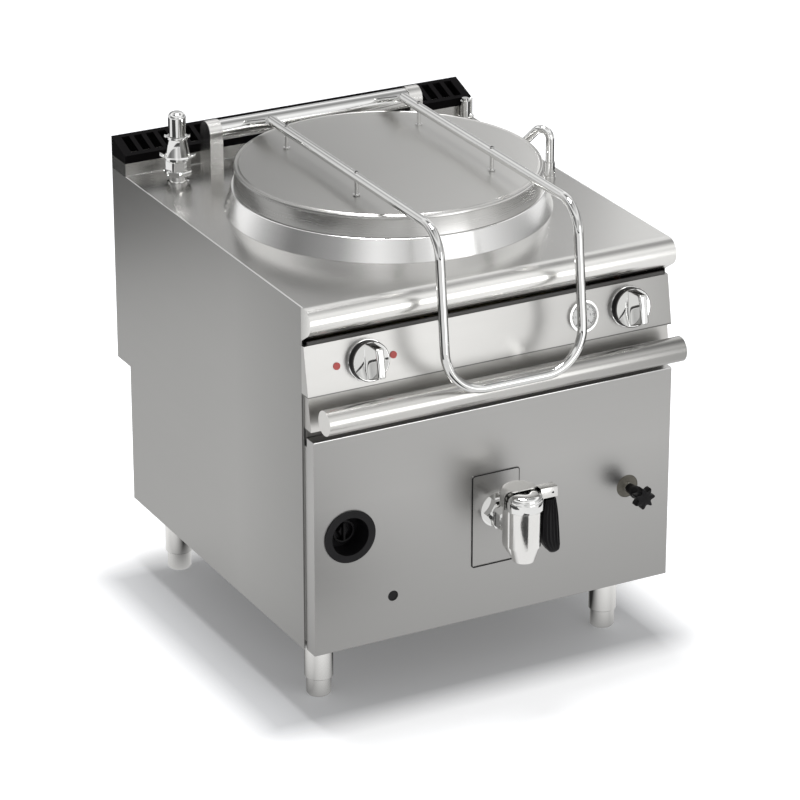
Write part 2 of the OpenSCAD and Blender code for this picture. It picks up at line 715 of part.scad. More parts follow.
module safety_vent_pipe() {
  color([0.72, 0.45, 0.3]) placed() {
    vent_dir() translate([0, 0, jacket_r + gap + 0.3]) cylinder(h = vent_len, r = 10);
    translate([valve_x, valve_y, vent_z]) sphere(11.5);
    rod_z(valve_x, valve_y, vent_z, top_z - gap, 10);
  }
}
module safety_valve_body() {
  color(chrome) placed() translate([valve_x, valve_y, top_z]) difference() {
    union() {
      rod_z(0, 0, 0, 14, 23);
      rod_z(0, 0, 14, 19, 30);
      translate([0, 0, 19]) cylinder(h = 29, r = 32, $fn = 6);
      rod_z(0, 0, 47, 52, 31);
      translate([0, 0, 52]) cylinder(h = 41, r1 = 27, r2 = 20);
      rod_z(0, 0, 93, 98, 22);
      translate([0, 0, 93]) rotate([0, 0, -27]) box3([-26, -4, 0], [26, 4, 5]);
      rotate([0, 0, -27]) box3([-36, -6, 44], [36, 6, 54]);
    }
    rod_z(0, 0, 60, 100, 4 + gap);
  }
}
module safety_cap() {
  color(chrome) placed() translate([valve_x, valve_y, top_z]) {
    rotate_extrude() cap2d(18, 98 + gap, 148.6, 12);
    rod_z(0, 0, 70, 100, 4);
  }
}
module gauge_case() {
  color(chrome) placed() on_panel(gauge_x) difference() {
    union() {
      cylinder(h = 7, r = gauge_r);
      translate([0, 0, -40]) cylinder(h = 41, r = 26);
    }
    translate([0, 0, 1]) cylinder(h = 10, r = 28);
    translate([0, 0, -8]) cylinder(h = 20, r = 1.5);
  }
}
module gauge_dial() {
  color([1, 1, 1]) placed() on_panel(gauge_x) difference() {
    translate([0, 0, 1.05]) cylinder(h = 0.8, r = 27.7);
    cylinder(h = 5, r = 1.5);
  }
}
module gauge_needle() {
  color(black) placed() on_panel(gauge_x) rotate([0, 0, 225]) {
    translate([0, 0, 2.4]) cylinder(h = 1.2, r = 3);
    translate([0, 0, -6]) cylinder(h = 9, r = 1.2);
    box3([-6, -0.6, 2.6], [20, 0.6, 3.4]);
    translate([17, 0, 2.6]) cylinder(h = 0.8, r = 1.8);
  }
}
module gauge_glass() {
  color([0.8, 0.9, 0.95, 0.4]) placed() on_panel(gauge_x) translate([0, 0, 4.6]) cylinder(h = 1.4, r = 27.9);
}
module lamp_lenses() {
  color([0.85, 0.3, 0.3]) placed() for (x = lamps_x) {
    on_panel(x) cylinder(h = 1.6, r = 7.2);
    on_panel(x) translate([0, 0, -16]) cylinder(h = 17, r = 5);
  }
}
module control_knob() {
  difference() {
    union() {
      translate([0, 0, 0.5]) cylinder(h = 7, r = knob_r);
      translate([0, 0, 7]) cylinder(h = 5, r1 = knob_r - 1, r2 = knob_r - 5);
    }
    translate([0, 0, 6.5]) cylinder(h = 10, r = knob_r - 9);
  }
  intersection() {
    translate([0, 0, 3]) cylinder(h = 27, r = knob_r - 2);
    prof_x(-10, 10) polygon([[-34, 6], [34, 6], [34, 20], [26, 29], [-30, 29], [-34, 22]]);
  }
  translate([0, 0, -15]) cylinder(h = 20, r = 5);
}
module heat_knob() { color(chrome) placed() on_panel(left_knob_x) control_knob(); }
module water_knob() { color(chrome) placed() on_panel(right_knob_x) control_knob(); }
module hinge_brackets() {
  color(chrome) placed() both() difference() {
    union() {
      box3([roller_hw + gap, hinge_y - bracket_r, top_z], [roller_hw + bracket_t, hinge_y + bracket_r, hinge_z]);
      rod_x(hinge_y, hinge_z, roller_hw + gap, roller_hw + bracket_t, bracket_r);
    }
    rod_x(hinge_y, hinge_z, roller_hw - 5, roller_hw + bracket_t - 5, shaft_r + 0.02);
  }
}
module hinge_shaft() {
  color([0.6, 0.6, 0.6]) placed() {
    rod_x(hinge_y, hinge_z, -roller_hw - bracket_t + 6, roller_hw + bracket_t - 6, shaft_r);
    difference() {
      rod_x(hinge_y, hinge_z, -roller_hw + 12, roller_hw - 12, 14);
      for (i = [-15 : 15]) {
        rod_x(hinge_y, hinge_z, i * 12.5 - 2, i * 12.5 + 2, 30);
      }
    }
  }
}
module hinge_roller() {
  color(chrome) placed() difference() {
    rod_x(hinge_y, hinge_z, -roller_hw, roller_hw, roller_r);
    rod_x(hinge_y, hinge_z, -roller_hw + 8, roller_hw - 8, roller_r - 4);
    rod_x(hinge_y, hinge_z, -roller_hw - 1, roller_hw + 1, shaft_r + 0.08);
  }
}
module lid_shell() {
  crown = [for (i = [0 : 12]) (lid_r - 5) * (1 - i / 12)];
  color(steel) placed() translate([0, pan_y, 0]) rotate_extrude($fn = 180) polygon(concat(
    [[lid_r, collar_z + gap], [lid_r, lid_wall_z - 6], [lid_r + 1.6, lid_wall_z - 4],
     [lid_r + 1.6, lid_wall_z - 1], [lid_r - 1, lid_wall_z + 1]],
    [for (r = crown) [r, lid_z(r)]],
    [for (i = [12 : -1 : 0]) [crown[i], lid_z(crown[i]) - 2]],
    [[lid_r - 2, lid_wall_z - 3], [lid_r - 2, collar_z + gap]]));
}
module lid_liner() {
  color(steel) placed() translate([0, pan_y, 0]) rotate_extrude($fn = 180) polygon([
    [0, collar_z - 8], [pan_r - 2, collar_z - 8], [pan_r - 2, collar_z + gap],
    [lid_r - 2 - gap, collar_z + gap], [lid_r - 2 - gap, collar_z + 2 + gap],
    [pan_r - 4, collar_z + 2 + gap], [pan_r - 4, collar_z - 6], [0, collar_z - 6]]);
}
module lid_handle() {
  color(chrome) placed() difference() {
    union() {
      both() {
        translate([arm_x, bend_start, arm_z]) sphere(tube_r - 0.6);
        translate([arm_x, leg_end_y, leg_end_z]) sphere(tube_r - 0.6);
        rod_y(arm_x, arm_z, bend_start, arm_back, tube_r);
        translate([arm_x, bend_start, arm_z - bend_r]) rotate([0, -90, 180])
          rotate_extrude(angle = lean_turn) translate([bend_r, 0]) circle(tube_r);
        translate([arm_x, arm_back, arm_z]) sphere(tube_r);
        translate([arm_x, arm_back, arm_z]) rotate([-pad_a, 0, 0]) rotate([-90, 0, 0]) linear_extrude(120) pad_2d();
      }
      translate([0, leg_end_y, leg_end_z]) rotate([-leg_lean, 0, 0]) {
        both() {
          rod_z(arm_x, 0, -leg_len, 0, tube_r);
          translate([arm_x, 0, -leg_len]) sphere(tube_r - 0.6);
          translate([arm_x - corner_r, 0, -leg_len - corner_r]) sphere(tube_r - 0.6);
          translate([arm_x - corner_r, 0, -leg_len]) rotate([-90, 0, 0])
            rotate_extrude(angle = 90) translate([corner_r, 0]) circle(tube_r);
        }
        rod_x(0, -leg_len - corner_r, -arm_x + corner_r, arm_x - corner_r, tube_r);
      }
    }
    rod_x(hinge_y, hinge_z, -hw, hw, roller_r + 0.02);
    box3([-hw, hinge_y, hinge_z - 60], [hw, rear_y, hinge_z + 140]);
  }
}
module pad_2d() {
  square([18, 11], center = true);
  translate([9, 0]) circle(5.5);
  translate([-9, 0]) circle(5.5);
}
module lid_fasteners() {
  color(chrome) placed() both() {
    for (y = [pan_y - stud_dy, pan_y + stud_dy]) {
      rod_z(arm_x, y, stud_z, arm_z - tube_r - 0.02, 4);
      rod_z(arm_x, y, stud_z, stud_z + 3, 7);
      rod_z(arm_x, y, arm_z + tube_r + 0.02, arm_z + tube_r + 2, 4.5);
    }
  }
}
module spout_base() {
  color(chrome) placed() translate([spout_x, spout_y, top_z]) difference() {
    union() {
      rod_z(0, 0, 0, 4, 13);
      rod_z(0, 0, 0, 18, 11.5);
      rod_z(0, 0, 17, 35, 10.5);
    }
    rod_z(0, 0, 15, 40, 6.08);
    rod_y(0, 9, -15, -9.5, 1.5);
    rod_y(0, 26, -15, -8.5, 1.5);
  }
}
module water_spout() {
  rb = 18;
  turn = 138;
  run = 45;
  ex = rb * (1 - cos(turn));
  ez = spout_z - rb + rb * sin(turn);
  color(chrome) placed() translate([spout_x, spout_y, 0]) difference() {
    union() {
      rod_z(0, 0, top_z + 16, top_z + 36, 6);
      rod_z(0, 0, top_z + 35 + gap, spout_z - rb, 8.5);
      translate([0, 0, spout_z - rb]) sphere(8);
      rotate([0, 0, 127]) {
        translate([rb, 0, spout_z - rb]) rotate([90, 0, 180])
          rotate_extrude(angle = turn) translate([rb, 0]) circle(8.5);
        translate([ex, 0, ez]) rotate([0, turn, 0]) cylinder(h = run, r = 8.5);
        translate([ex, 0, ez]) sphere(8);
      }
    }
    rotate([0, 0, 127]) translate([ex, 0, ez]) rotate([0, turn, 0]) translate([0, 0, 12]) cylinder(h = run, r = 7);
  }
}
module filler_cock() {
  color(chrome) placed() {
    rod_z(filler_x, filler_y, top_z, top_z + 42, 10);
    rod_z(filler_x, filler_y, top_z + 42, top_z + 48, 7);
    rod_x(filler_y, top_z + 44, filler_x, filler_x + 14, 2.8);
    translate([filler_x + 14, filler_y, top_z + 44]) sphere(3.2);
    rod_z(filler_x + 14, filler_y, top_z + 6, top_z + 44, 2.8);
    translate([filler_x + 14, filler_y, top_z + 6]) sphere(5.9);
  }
}
module leg_at(x, y) { translate([x, y, 0]) children(); }
module leg_tube() {
  difference() {
    cylinder(h = under_z, r = leg_tube_r);
    translate([0, 0, -1]) cylinder(h = under_z - 5, r = foot_r + gap);
    translate([0, 0, -1]) cylinder(h = leg_bot + 1, r = 60);
  }
}
module leg_tubes() {
  color(steel) placed() {
    leg_at(-leg_x, leg_front) leg_tube();
    leg_at(leg_x, leg_front) leg_tube();
    leg_at(-leg_x, leg_rear) leg_tube();
    leg_at(leg_x, leg_rear) leg_tube();
  }
}
module foot() {
  difference() {
    union() {
      cylinder(h = 4, r1 = foot_r - 3, r2 = foot_r);
      translate([0, 0, 4]) cylinder(h = 106, r = foot_r);
    }
    translate([0, 0, 6]) cylinder(h = 110, r = foot_r - 4);
  }
}
module foot_front_left() { color(steel) placed() leg_at(-leg_x, leg_front) foot(); }
module foot_front_right() { color(steel) placed() leg_at(leg_x, leg_front) foot(); }
module foot_rear_left() { color(steel) placed() leg_at(-leg_x, leg_rear) foot(); }
module foot_rear_right() { color(steel) placed() leg_at(leg_x, leg_rear) foot(); }

base_frame();
side_panel_left();
side_panel_right();
rear_panel_upper();
rear_panel_lower();
worktop();
pan_collar();
inner_vessel();
jacket_shell();
insulation();
combustion_chamber();
burner_tubes();
gas_pipes();
gas_valve_body();
water_pipes();
water_valve_body();
flue_duct();
flue_grille_left();
flue_grille_right();
control_panel();
recess_panel();
front_panel();
guard_rail();
gas_bezel();
sight_tube();
pan_strainer();
drain_cover_plate();
drain_union();
drain_tap_body();
drain_dome_cap();
level_tap_body();
safety_vent_pipe();
safety_valve_body();
gauge_case();
gauge_dial();
gauge_glass();
lamp_lenses();
hinge_brackets();
hinge_shaft();
spout_base();
filler_cock();
leg_tubes();
lid_shell();
lid_liner();
lid_handle();
lid_fasteners();
hinge_roller();
heat_knob();
water_knob();
gas_knob();
gauge_needle();
drain_lever();
drain_grip();
level_knob();
water_spout();
safety_cap();
foot_front_left();
foot_front_right();
foot_rear_left();
foot_rear_right();
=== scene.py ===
# %% [markdown]
# This lesson dresses a gas boiling pan: a stainless cabinet with a round pan, a hinged lid, a drain tap and a few
# controls. The solids come from the packed model and stay where they are. First they are loaded.

# %% Load the frame
import math
import bmesh
import bpy
import numpy as np
from mathutils import Matrix, Vector


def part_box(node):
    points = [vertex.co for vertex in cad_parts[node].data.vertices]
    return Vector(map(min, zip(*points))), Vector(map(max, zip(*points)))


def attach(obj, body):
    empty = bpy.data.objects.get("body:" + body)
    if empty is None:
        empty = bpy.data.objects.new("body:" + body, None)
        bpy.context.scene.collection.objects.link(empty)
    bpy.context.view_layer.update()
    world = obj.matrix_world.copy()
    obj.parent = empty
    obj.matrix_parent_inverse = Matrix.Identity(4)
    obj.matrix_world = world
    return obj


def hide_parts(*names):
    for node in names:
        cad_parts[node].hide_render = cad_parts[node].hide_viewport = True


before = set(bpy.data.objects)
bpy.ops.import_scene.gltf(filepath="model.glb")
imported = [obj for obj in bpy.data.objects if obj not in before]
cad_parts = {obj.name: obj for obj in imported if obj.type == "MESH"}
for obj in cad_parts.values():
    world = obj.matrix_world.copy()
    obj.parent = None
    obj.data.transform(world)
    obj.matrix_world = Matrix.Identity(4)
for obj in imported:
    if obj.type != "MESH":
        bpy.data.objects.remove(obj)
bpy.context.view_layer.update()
FRONT_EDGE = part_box("side_panel_left")[0][1]

# %% [markdown]
# Sizes are easiest to follow in millimetres, measured from the front edge of the side panels, as they were read off
# the real object. One small function turns such a point, or a whole array of points, into metres in the model's frame.

# %% Millimetres to the model's frame
def at(x, y, z):
    """A point in millimetres becomes metres: each value divided by 1000, and y moved to the frame's own origin."""
    x, y, z = np.broadcast_arrays(*(np.asarray(v, float) for v in (x, y, z)))
    return np.stack([x / 1000, y / 1000 + FRONT_EDGE, z / 1000], -1)


print("the side panels' front edge is at y =", round(FRONT_EDGE, 5), "m")

# %% [markdown]
# The camera stands at the front left and a little above, far away, so that parallel edges stay almost parallel.
# Its direction is an azimuth and an elevation in degrees. It looks past the middle of the cabinet, and the two
# offsets, in millimetres, centre the pan in the picture.

# %% Camera
AZIMUTH, ELEVATION, DISTANCE, TO_THE_RIGHT, UPWARDS = -27.911, 23.404, 8152.2, 19.711, 14.011
FOCAL_PIXELS, PICTURE_PIXELS, SENSOR_WIDTH = 3999.55, 800, 36.0
MIDDLE = np.array([0.0, 400.0, 430.0])
a, e = math.radians(AZIMUTH), math.radians(ELEVATION)
back = np.array([math.sin(a) * math.cos(e), -math.cos(a) * math.cos(e), math.sin(e)])
right = np.array([math.cos(a), math.sin(a), 0.0])
up = np.cross(back, right)
eye = at(*(MIDDLE + back * DISTANCE + right * TO_THE_RIGHT + up * UPWARDS))
cam = bpy.data.objects.new("camera", bpy.data.cameras.new("camera"))
bpy.context.collection.objects.link(cam)
cam.data.sensor_width = SENSOR_WIDTH
cam.data.lens = FOCAL_PIXELS / PICTURE_PIXELS * SENSOR_WIDTH
cam.data.clip_end = 100.0
cam.location = eye
cam.rotation_euler = Matrix([right, up, back]).transposed().to_euler()
bpy.context.scene.camera = cam
print("camera at", np.round(eye, 3))

# %% [markdown]
# Shader maths reads best as plain expressions. A socket is wrapped in a small class whose operators add Math nodes,
# and one method of the material class adds every other kind of node with its settings and inputs.

# %% Small shader language
class Val:
    """A wrapped socket. Adding, subtracting, multiplying, dividing and powers each become one Math node."""
    def __init__(self, mat, socket):
        self.mat, self.socket = mat, socket

    def op(self, kind, a, b=None):
        return self.mat.node("ShaderNodeMath", {"operation": kind}, *([a] if b is None else [a, b]))

    def __add__(self, o): return self.op("ADD", self, o)
    def __radd__(self, o): return self.op("ADD", o, self)
    def __sub__(self, o): return self.op("SUBTRACT", self, o)
    def __rsub__(self, o): return self.op("SUBTRACT", o, self)
    def __mul__(self, o): return self.op("MULTIPLY", self, o)
    def __truediv__(self, o): return self.op("DIVIDE", self, o)
    def __pow__(self, o): return self.op("POWER", self, o)
    def under(self, o): return self.op("LESS_THAN", self, o)
    def abs(self): return self.op("ABSOLUTE", self)
    def angle(self, o): return self.op("ARCTAN2", self, o)


class Mat:
    """A new material or world whose nodes are added one by one."""
    def __init__(self, name, tree=None):
        self.block = bpy.data.materials.new(name) if tree is None else tree
        self.block.use_nodes = True
        self.tree = self.block.node_tree
        self.tree.nodes.clear()
        self.out = self.tree.nodes.new("ShaderNodeOutputMaterial" if tree is None else "ShaderNodeOutputWorld")

    def node(self, kind, settings=None, *values, out=0, **named):
        """Add a node, set its properties, fill its inputs in order or by name, and hand back one of its outputs."""
        n = self.tree.nodes.new(kind)
        for k, v in (settings or {}).items():
            if k == "stops":
                while len(n.color_ramp.elements) < len(v):
                    n.color_ramp.elements.new(0.5)
                for s, (p, c) in zip(n.color_ramp.elements, v):
                    s.position, s.color = p, (*c, 1) if hasattr(c, "__len__") else (c, c, c, 1)
            else:
                setattr(n, k, v)
        for i, v in enumerate(values):
            self.put(n.inputs[i], v)
        for k, v in named.items():
            self.put(n.inputs[k.replace("_", " ")], v)
        self.last = n
        return Val(self, n.outputs[out])

    def put(self, socket, v):
        """Link a wrapped socket, or write a number or a colour into the input."""
        if isinstance(v, Val):
            self.tree.links.new(v.socket, socket)
        elif hasattr(v, "__len__") and len(v) == 3 and socket.type == "RGBA":
            socket.default_value = (*v, 1)
        else:
            socket.default_value = v

    def coords(self, scale=(1, 1, 1), move=(0, 0, 0)):
        """Object coordinates in metres, times scale, plus move."""
        c = self.node("ShaderNodeTexCoord", None, out=3)
        return self.node("ShaderNodeMapping", None, c, Location=move, Scale=scale)

    def noise(self, where, scale, detail=2.0, rough=0.5):
        return self.node("ShaderNodeTexNoise", None, where, Scale=scale, Detail=detail, Roughness=rough)

    def ramp(self, fac, *stops):
        return self.node("ShaderNodeValToRGB", {"stops": stops}, fac)

    def split(self, where):
        """The three coordinates of a place, one wrapped socket each."""
        self.node("ShaderNodeSeparateXYZ", None, where)
        return [Val(self, s) for s in self.last.outputs]

    def times(self, colour, k):
        """A colour times a factor."""
        n = self.tree.nodes.new("ShaderNodeMix")
        n.data_type, n.blend_type = "RGBA", "MULTIPLY"
        for i, v in ((0, 1.0), (6, colour), (7, k)):
            self.put(n.inputs[i], v)
        return Val(self, n.outputs[2])

    def finish(self, bump=None, strength=0.1, depth=0.001, **sockets):
        """Close the material with one Principled shader; the bump height is in parts of depth, in metres."""
        b = self.tree.nodes.new("ShaderNodeBsdfPrincipled")
        for k, v in sockets.items():
            self.put(b.inputs[k.replace("_", " ")], v)
        if bump is not None:
            n = self.node("ShaderNodeBump", None, Strength=strength, Distance=depth, Height=bump)
            self.put(b.inputs["Normal"], n)
        self.tree.links.new(b.outputs[0], self.out.inputs[0])
        return self.block


print("shader helpers:", [name for name in vars(Mat) if not name.startswith("_")])

# %% [markdown]
# Satin stainless sheet is rolled and then brushed in one direction. The brushing shows as very fine streaks in gloss
# and in colour, and the sheet itself has broad, faint clouds. So the noise is stretched along the grain: hundreds of
# waves per metre across it and a few along it. A picture of brushed steel would also do, but it has to be unwrapped
# onto each sheet and it repeats. The steel's own colour stays a neutral, slightly warm grey.

# %% Brushed steel
FINE_ALONG, FINE_ACROSS, WIDE_ALONG, WIDE_ACROSS = 12, 900, 2, 60
CLOUDS, GLOSS_SPREAD, PAINTED_SHADE_DEPTH = 0.06, 0.10, 0.65


def brushed(name, grain, colour, rough=0.34, painted_light=(), painted_shade_below=None):
    """Colour = base colour times (1 + clouds + streaks), times painted light and shade along the axes; below a given
    height it is darker, a painted shade. Roughness = base + streaks; the bump follows the same streaks."""
    m = Mat(name)
    fine = [FINE_ALONG if axis == grain else FINE_ACROSS for axis in "xyz"]
    wide = [WIDE_ALONG if axis == grain else WIDE_ACROSS for axis in "xyz"]
    streak = m.noise(m.coords(fine), 1.0, 3.0, 0.6)
    band = m.noise(m.coords(wide), 1.0, 2.0)
    cloud = m.noise(m.coords(), 3.0, 2.0)
    fac = (streak - 0.5) * 0.35 + (band - 0.5) * 0.06 + (cloud - 0.5) * CLOUDS * 6 + 0.5
    dark = [c * (1 - CLOUDS) for c in colour]
    light = [min(1, c * (1 + CLOUDS)) for c in colour]
    col = m.ramp(fac, (0.0, dark), (1.0, light))
    along = m.split(m.coords())
    for axis, start, end, *factors in painted_light:
        stops = [(i / (len(factors) - 1), factor / 2) for i, factor in enumerate(factors)]
        col = m.times(col, m.ramp((along[axis] - start) / (end - start), *stops) * 2)
    if painted_shade_below:
        # Below the given height the colour is darker: painted shade.
        col = m.times(col, 1 - along[2].under(painted_shade_below) * PAINTED_SHADE_DEPTH)
    r = rough + (streak - 0.5) * GLOSS_SPREAD + (band - 0.5) * GLOSS_SPREAD * 0.25
    return m.finish(streak, 0.06, 0.00004, Base_Color=col, Roughness=r, Metallic=1.0)


PAN_Y = 407


def turned(name, colour, rough, rings=700.0, painted_light=(1.0, 1.0)):
    """Steel polished in rings: the streaks follow the distance from the pan's axis, so they run round the pan.
    The two factors of painted light darken or lighten the left and the right side: painted shade and highlight."""
    m = Mat(name)
    cx, cy = at(0, PAN_Y, 0)[:2]
    x, y, z = m.split(m.coords(move=(-cx, -cy, 0)))
    r = (x * x + y * y) ** 0.5
    where = m.node("ShaderNodeCombineXYZ", None, r * rings, z * rings, y.angle(x) * 1.5)
    streak = m.noise(where, 1.0, 3.0, 0.6)
    cloud = m.noise(m.coords(), 4.0, 2.0)
    fac = (streak - 0.5) * 0.3 + (cloud - 0.5) * 0.5 + 0.5
    col = m.ramp(fac, (0.0, [c * 0.93 for c in colour]), (1.0, [min(1, c * 1.06) for c in colour]))
    col = m.times(col, m.ramp(x / 0.7 + 0.5, (0.0, painted_light[0] / 2), (1.0, painted_light[1] / 2)) * 2)
    return m.finish(streak, 0.05, 0.00003, Base_Color=col, Roughness=rough + (streak - 0.5) * 0.06, Metallic=1.0)


def polished(name, colour=(0.86, 0.86, 0.85), rough=0.05):
    """Bright plated metal: nearly a mirror, with faint smears in colour and in gloss."""
    m = Mat(name)
    smear = m.noise(m.coords(), 30.0, 3.0)
    grain = m.noise(m.coords(), 900.0, 2.0)
    col = m.ramp(smear, (0.3, [c * 0.96 for c in colour]), (0.7, colour))
    return m.finish(grain, 0.03, 0.00002, Base_Color=col, Roughness=rough + (smear - 0.5) * 0.05, Metallic=1.0)


print("steel streaks are about", round(1000 / FINE_ACROSS, 1), "mm wide and", round(1000 / FINE_ALONG), "mm long")

# %% [markdown]
# Black parts are of three kinds: enamelled cast grille, moulded plastic and a soft grip. Each is dark but not flat:
# a little orange peel in the enamel, fine moulding grain in the plastic. The brass, copper, iron and wool inside, the
# red dots and the white dial share a second recipe, which only mottles a colour, since none of them has a grain.

# %% Black and coloured finishes
def black(name, colour, rough, scale, shine=0.22):
    """Near-black paint or plastic: fine noise for the surface, broad noise for gloss."""
    m = Mat(name)
    peel = m.noise(m.coords(), scale, 3.0)
    wide = m.noise(m.coords(), 18.0, 2.0)
    col = m.ramp(wide * 0.6 + peel * 0.4, (0.3, [c * 0.8 for c in colour]), (0.7, [c * 1.5 for c in colour]))
    return m.finish(peel, 0.25, 0.0001, Base_Color=col, Roughness=rough + (wide - 0.5) * 0.15,
                    Specular_IOR_Level=shine)


def plain(name, colour, rough, metal=0.0, scale=120.0, spread=0.15, depth=0.0001):
    """A coloured surface: noise makes its colour lighter or darker by the spread, and its gloss uneven."""
    m = Mat(name)
    mottle = m.noise(m.coords(), scale, 3.0)
    dark, light = [c * (1 - spread) for c in colour], [min(1, c * (1 + spread)) for c in colour]
    col = m.ramp(mottle, (0.25, dark), (0.75, light))
    return m.finish(mottle, 0.2, depth, Base_Color=col, Roughness=rough + (mottle - 0.5) * 0.2, Metallic=metal)


print("two recipes for what isn't bare steel")

# %% [markdown]
# All finishes stand in one table, so that they can be compared. Sheets differ in how they were brushed, and each has
# its own tone, set for how light falls on it: painted light and shade. Some grow lighter or darker along an axis, a
# painted gradient of light, given by its axis, where it starts and ends in metres, and the factors spread evenly
# between.

# %% Table of finishes
X, Y, Z, HALF = 0, 1, 2, 0.4
# Many tones here are set lighter or darker for how light falls on each part, and every gradient along an axis is
# painted light and shade.
MATS = {
    "front": brushed("steel_front", "x", (0.46, 0.456, 0.447), painted_light=[(Z, 0.15, 0.62, 0.82, 0.92, 1.05, 0.98)]),
    # The recess is darker low down, just above the door: a painted shadow gap; the control panel's lowest strip is
    # darker too, a painted dark reflection.
    "recess": brushed("steel_recess", "x", (0.48, 0.473, 0.458), painted_shade_below=0.6222),
    "panel": brushed("steel_control_panel", "x", (0.50, 0.495, 0.482), painted_light=[(X, -HALF, HALF, 1.0, 1.0, 0.92, 0.7)],
                     painted_shade_below=0.6938),
    "side": brushed("steel_side", "y", (0.425, 0.422, 0.412), 0.36, painted_light=[(Y, -0.33, 0.52, 0.82, 1.0, 0.96, 0.92)]),
    "top": brushed("steel_worktop", "x", (0.55, 0.545, 0.531), 0.23,
                   painted_light=[(Y, -0.378, -0.338, 1.65, 1.0), (X, -HALF, HALF, 0.95, 1.05, 0.95)]),
    # Lid top and wall are one steel: the wall's lighter tone is a painted highlight, and both are painted darker on the
    # left and lighter on the right.
    "lid": turned("steel_lid", (0.57, 0.565, 0.55), 0.30, painted_light=(0.62, 1.25)),
    "wall": turned("steel_lid_wall", (0.72, 0.714, 0.698), 0.28, painted_light=(0.45, 1.4)),
    "collar": turned("steel_collar", (0.98, 0.972, 0.95), 0.21),
    "vessel": turned("steel_vessel", (0.7, 0.693, 0.672), 0.25, 500.0),
    "inner": brushed("steel_inner", "x", (0.45, 0.45, 0.44), 0.4),
    "rail": brushed("steel_rail", "x", (0.66, 0.653, 0.632), 0.24, painted_light=[(X, -HALF, HALF, 1.05, 0.85, 0.55)]),
    "leg": brushed("steel_leg", "z", (0.84, 0.833, 0.815), 0.12),
    "chrome": polished("chrome"),
    "tube": polished("handle_tube", (0.72, 0.72, 0.71)),
    "satin": polished("satin_chrome", (0.78, 0.773, 0.755), 0.24),
    "tap": polished("satin_column", (0.88, 0.873, 0.855), 0.15),
    "mirror": polished("knob_chrome", (0.88, 0.88, 0.87), 0.04),
    "enamel": black("black_enamel", (0.003, 0.0027, 0.003), 0.6, 700.0, shine=0.03),
    "plastic": black("black_plastic", (0.010, 0.0095, 0.0105), 0.40, 1200.0),
    "brass": plain("brass", (0.62, 0.47, 0.22), 0.35, 1.0),
    "copper": plain("copper_pipe", (0.64, 0.36, 0.24), 0.35, 1.0),
    "knob_black": black("moulded_black", (0.0065, 0.006, 0.0068), 0.36, 1200.0, shine=0.16),
    "olive": plain("aged_disc", (0.15, 0.14, 0.115), 0.5, 0.4, 220.0, 0.12),
    "iron": plain("burner_iron", (0.26, 0.25, 0.24), 0.6, 0.8),
    "wool": plain("mineral_wool", (0.66, 0.58, 0.36), 0.95, 0.0, 60.0, 0.3, 0.002),
    "red": plain("red_dot", (0.72, 0.10, 0.09), 0.35, 0.0, 90.0, 0.08),
    "shade": plain("shaded_strip", (0.10, 0.096, 0.092), 0.6, 0.0, 90.0, 0.1),
    "white": plain("white_dial", (0.86, 0.86, 0.85), 0.45, 0.0, 90.0, 0.03),
}
print(len(MATS), "finishes")

# %% [markdown]
# Every solid gets the finish of its real material. Sheets are brushed along their length, the pan and its collar are
# polished in rings, fittings are plated, and what is hidden inside is plain steel, brass, copper, iron or wool.

# %% Finishes for the solids
LOOK = {
    "front": "front_panel drain_cover_plate", "recess": "recess_panel", "panel": "control_panel",
    "side": "side_panel_left side_panel_right rear_panel_upper rear_panel_lower", "top": "worktop",
    "lid": "lid_shell lid_liner", "collar": "pan_collar", "vessel": "inner_vessel pan_strainer",
    "inner": "base_frame jacket_shell flue_duct hinge_shaft", "rail": "guard_rail",
    "leg": "leg_tubes foot_front_left foot_front_right foot_rear_left foot_rear_right",
    "chrome": "drain_union drain_tap_body drain_dome_cap level_tap_body safety_valve_body safety_cap gauge_case "
              "hinge_roller lid_fasteners heat_knob water_knob spout_base water_spout filler_cock",
    "tube": "lid_handle", "satin": "drain_lever hinge_brackets", "enamel": "flue_grille_left flue_grille_right",
    "plastic": "gas_bezel gas_knob drain_grip level_knob gauge_needle sight_tube",
    "brass": "gas_pipes water_valve_body gas_valve_body", "copper": "water_pipes safety_vent_pipe",
    "iron": "burner_tubes combustion_chamber", "wool": "insulation", "red": "lamp_lenses", "white": "gauge_dial",
}
for key, names in LOOK.items():
    for name in names.split():
        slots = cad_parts[name].data.materials
        slots.clear()
        slots.append(MATS[key])
print(sum(len(names.split()) for names in LOOK.values()), "solids have their finish")

# %% [markdown]
# The glass of the gauge is thin and clear. It could be left out, but its faint gloss tells the eye that the dial lies
# behind something. It is mostly see-through, and bends light less than thick glass does, so that the scale stays put.

# %% Gauge glass
g = Mat("clear_glass")
speck = g.noise(g.coords(), 60.0, 2.0)
glass = g.finish(speck, 0.02, 0.00002, Base_Color=(1, 1, 1), Roughness=0.03 + speck * 0.03, Transmission_Weight=1.0,
                 IOR=1.2, Alpha=0.35)
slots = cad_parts["gauge_glass"].data.materials
slots.clear()
slots.append(glass)
print("gauge glass is", slots[0].name)

# %% [markdown]
# The small fittings get new pieces with the forms that the solids leave plain. They could be modelled by hand from
# boxes and cylinders, but a formula is easier to check against a measured size. So each is a surface worked out on a
# grid: rows run along the piece and columns run round it. One helper joins such grids into a mesh, welds the rows
# that meet in a point, turns the faces outwards and marks the edges that should stay crisp.

# %% Grids become pieces
WELD, SLIVER = 2e-6, 1e-7


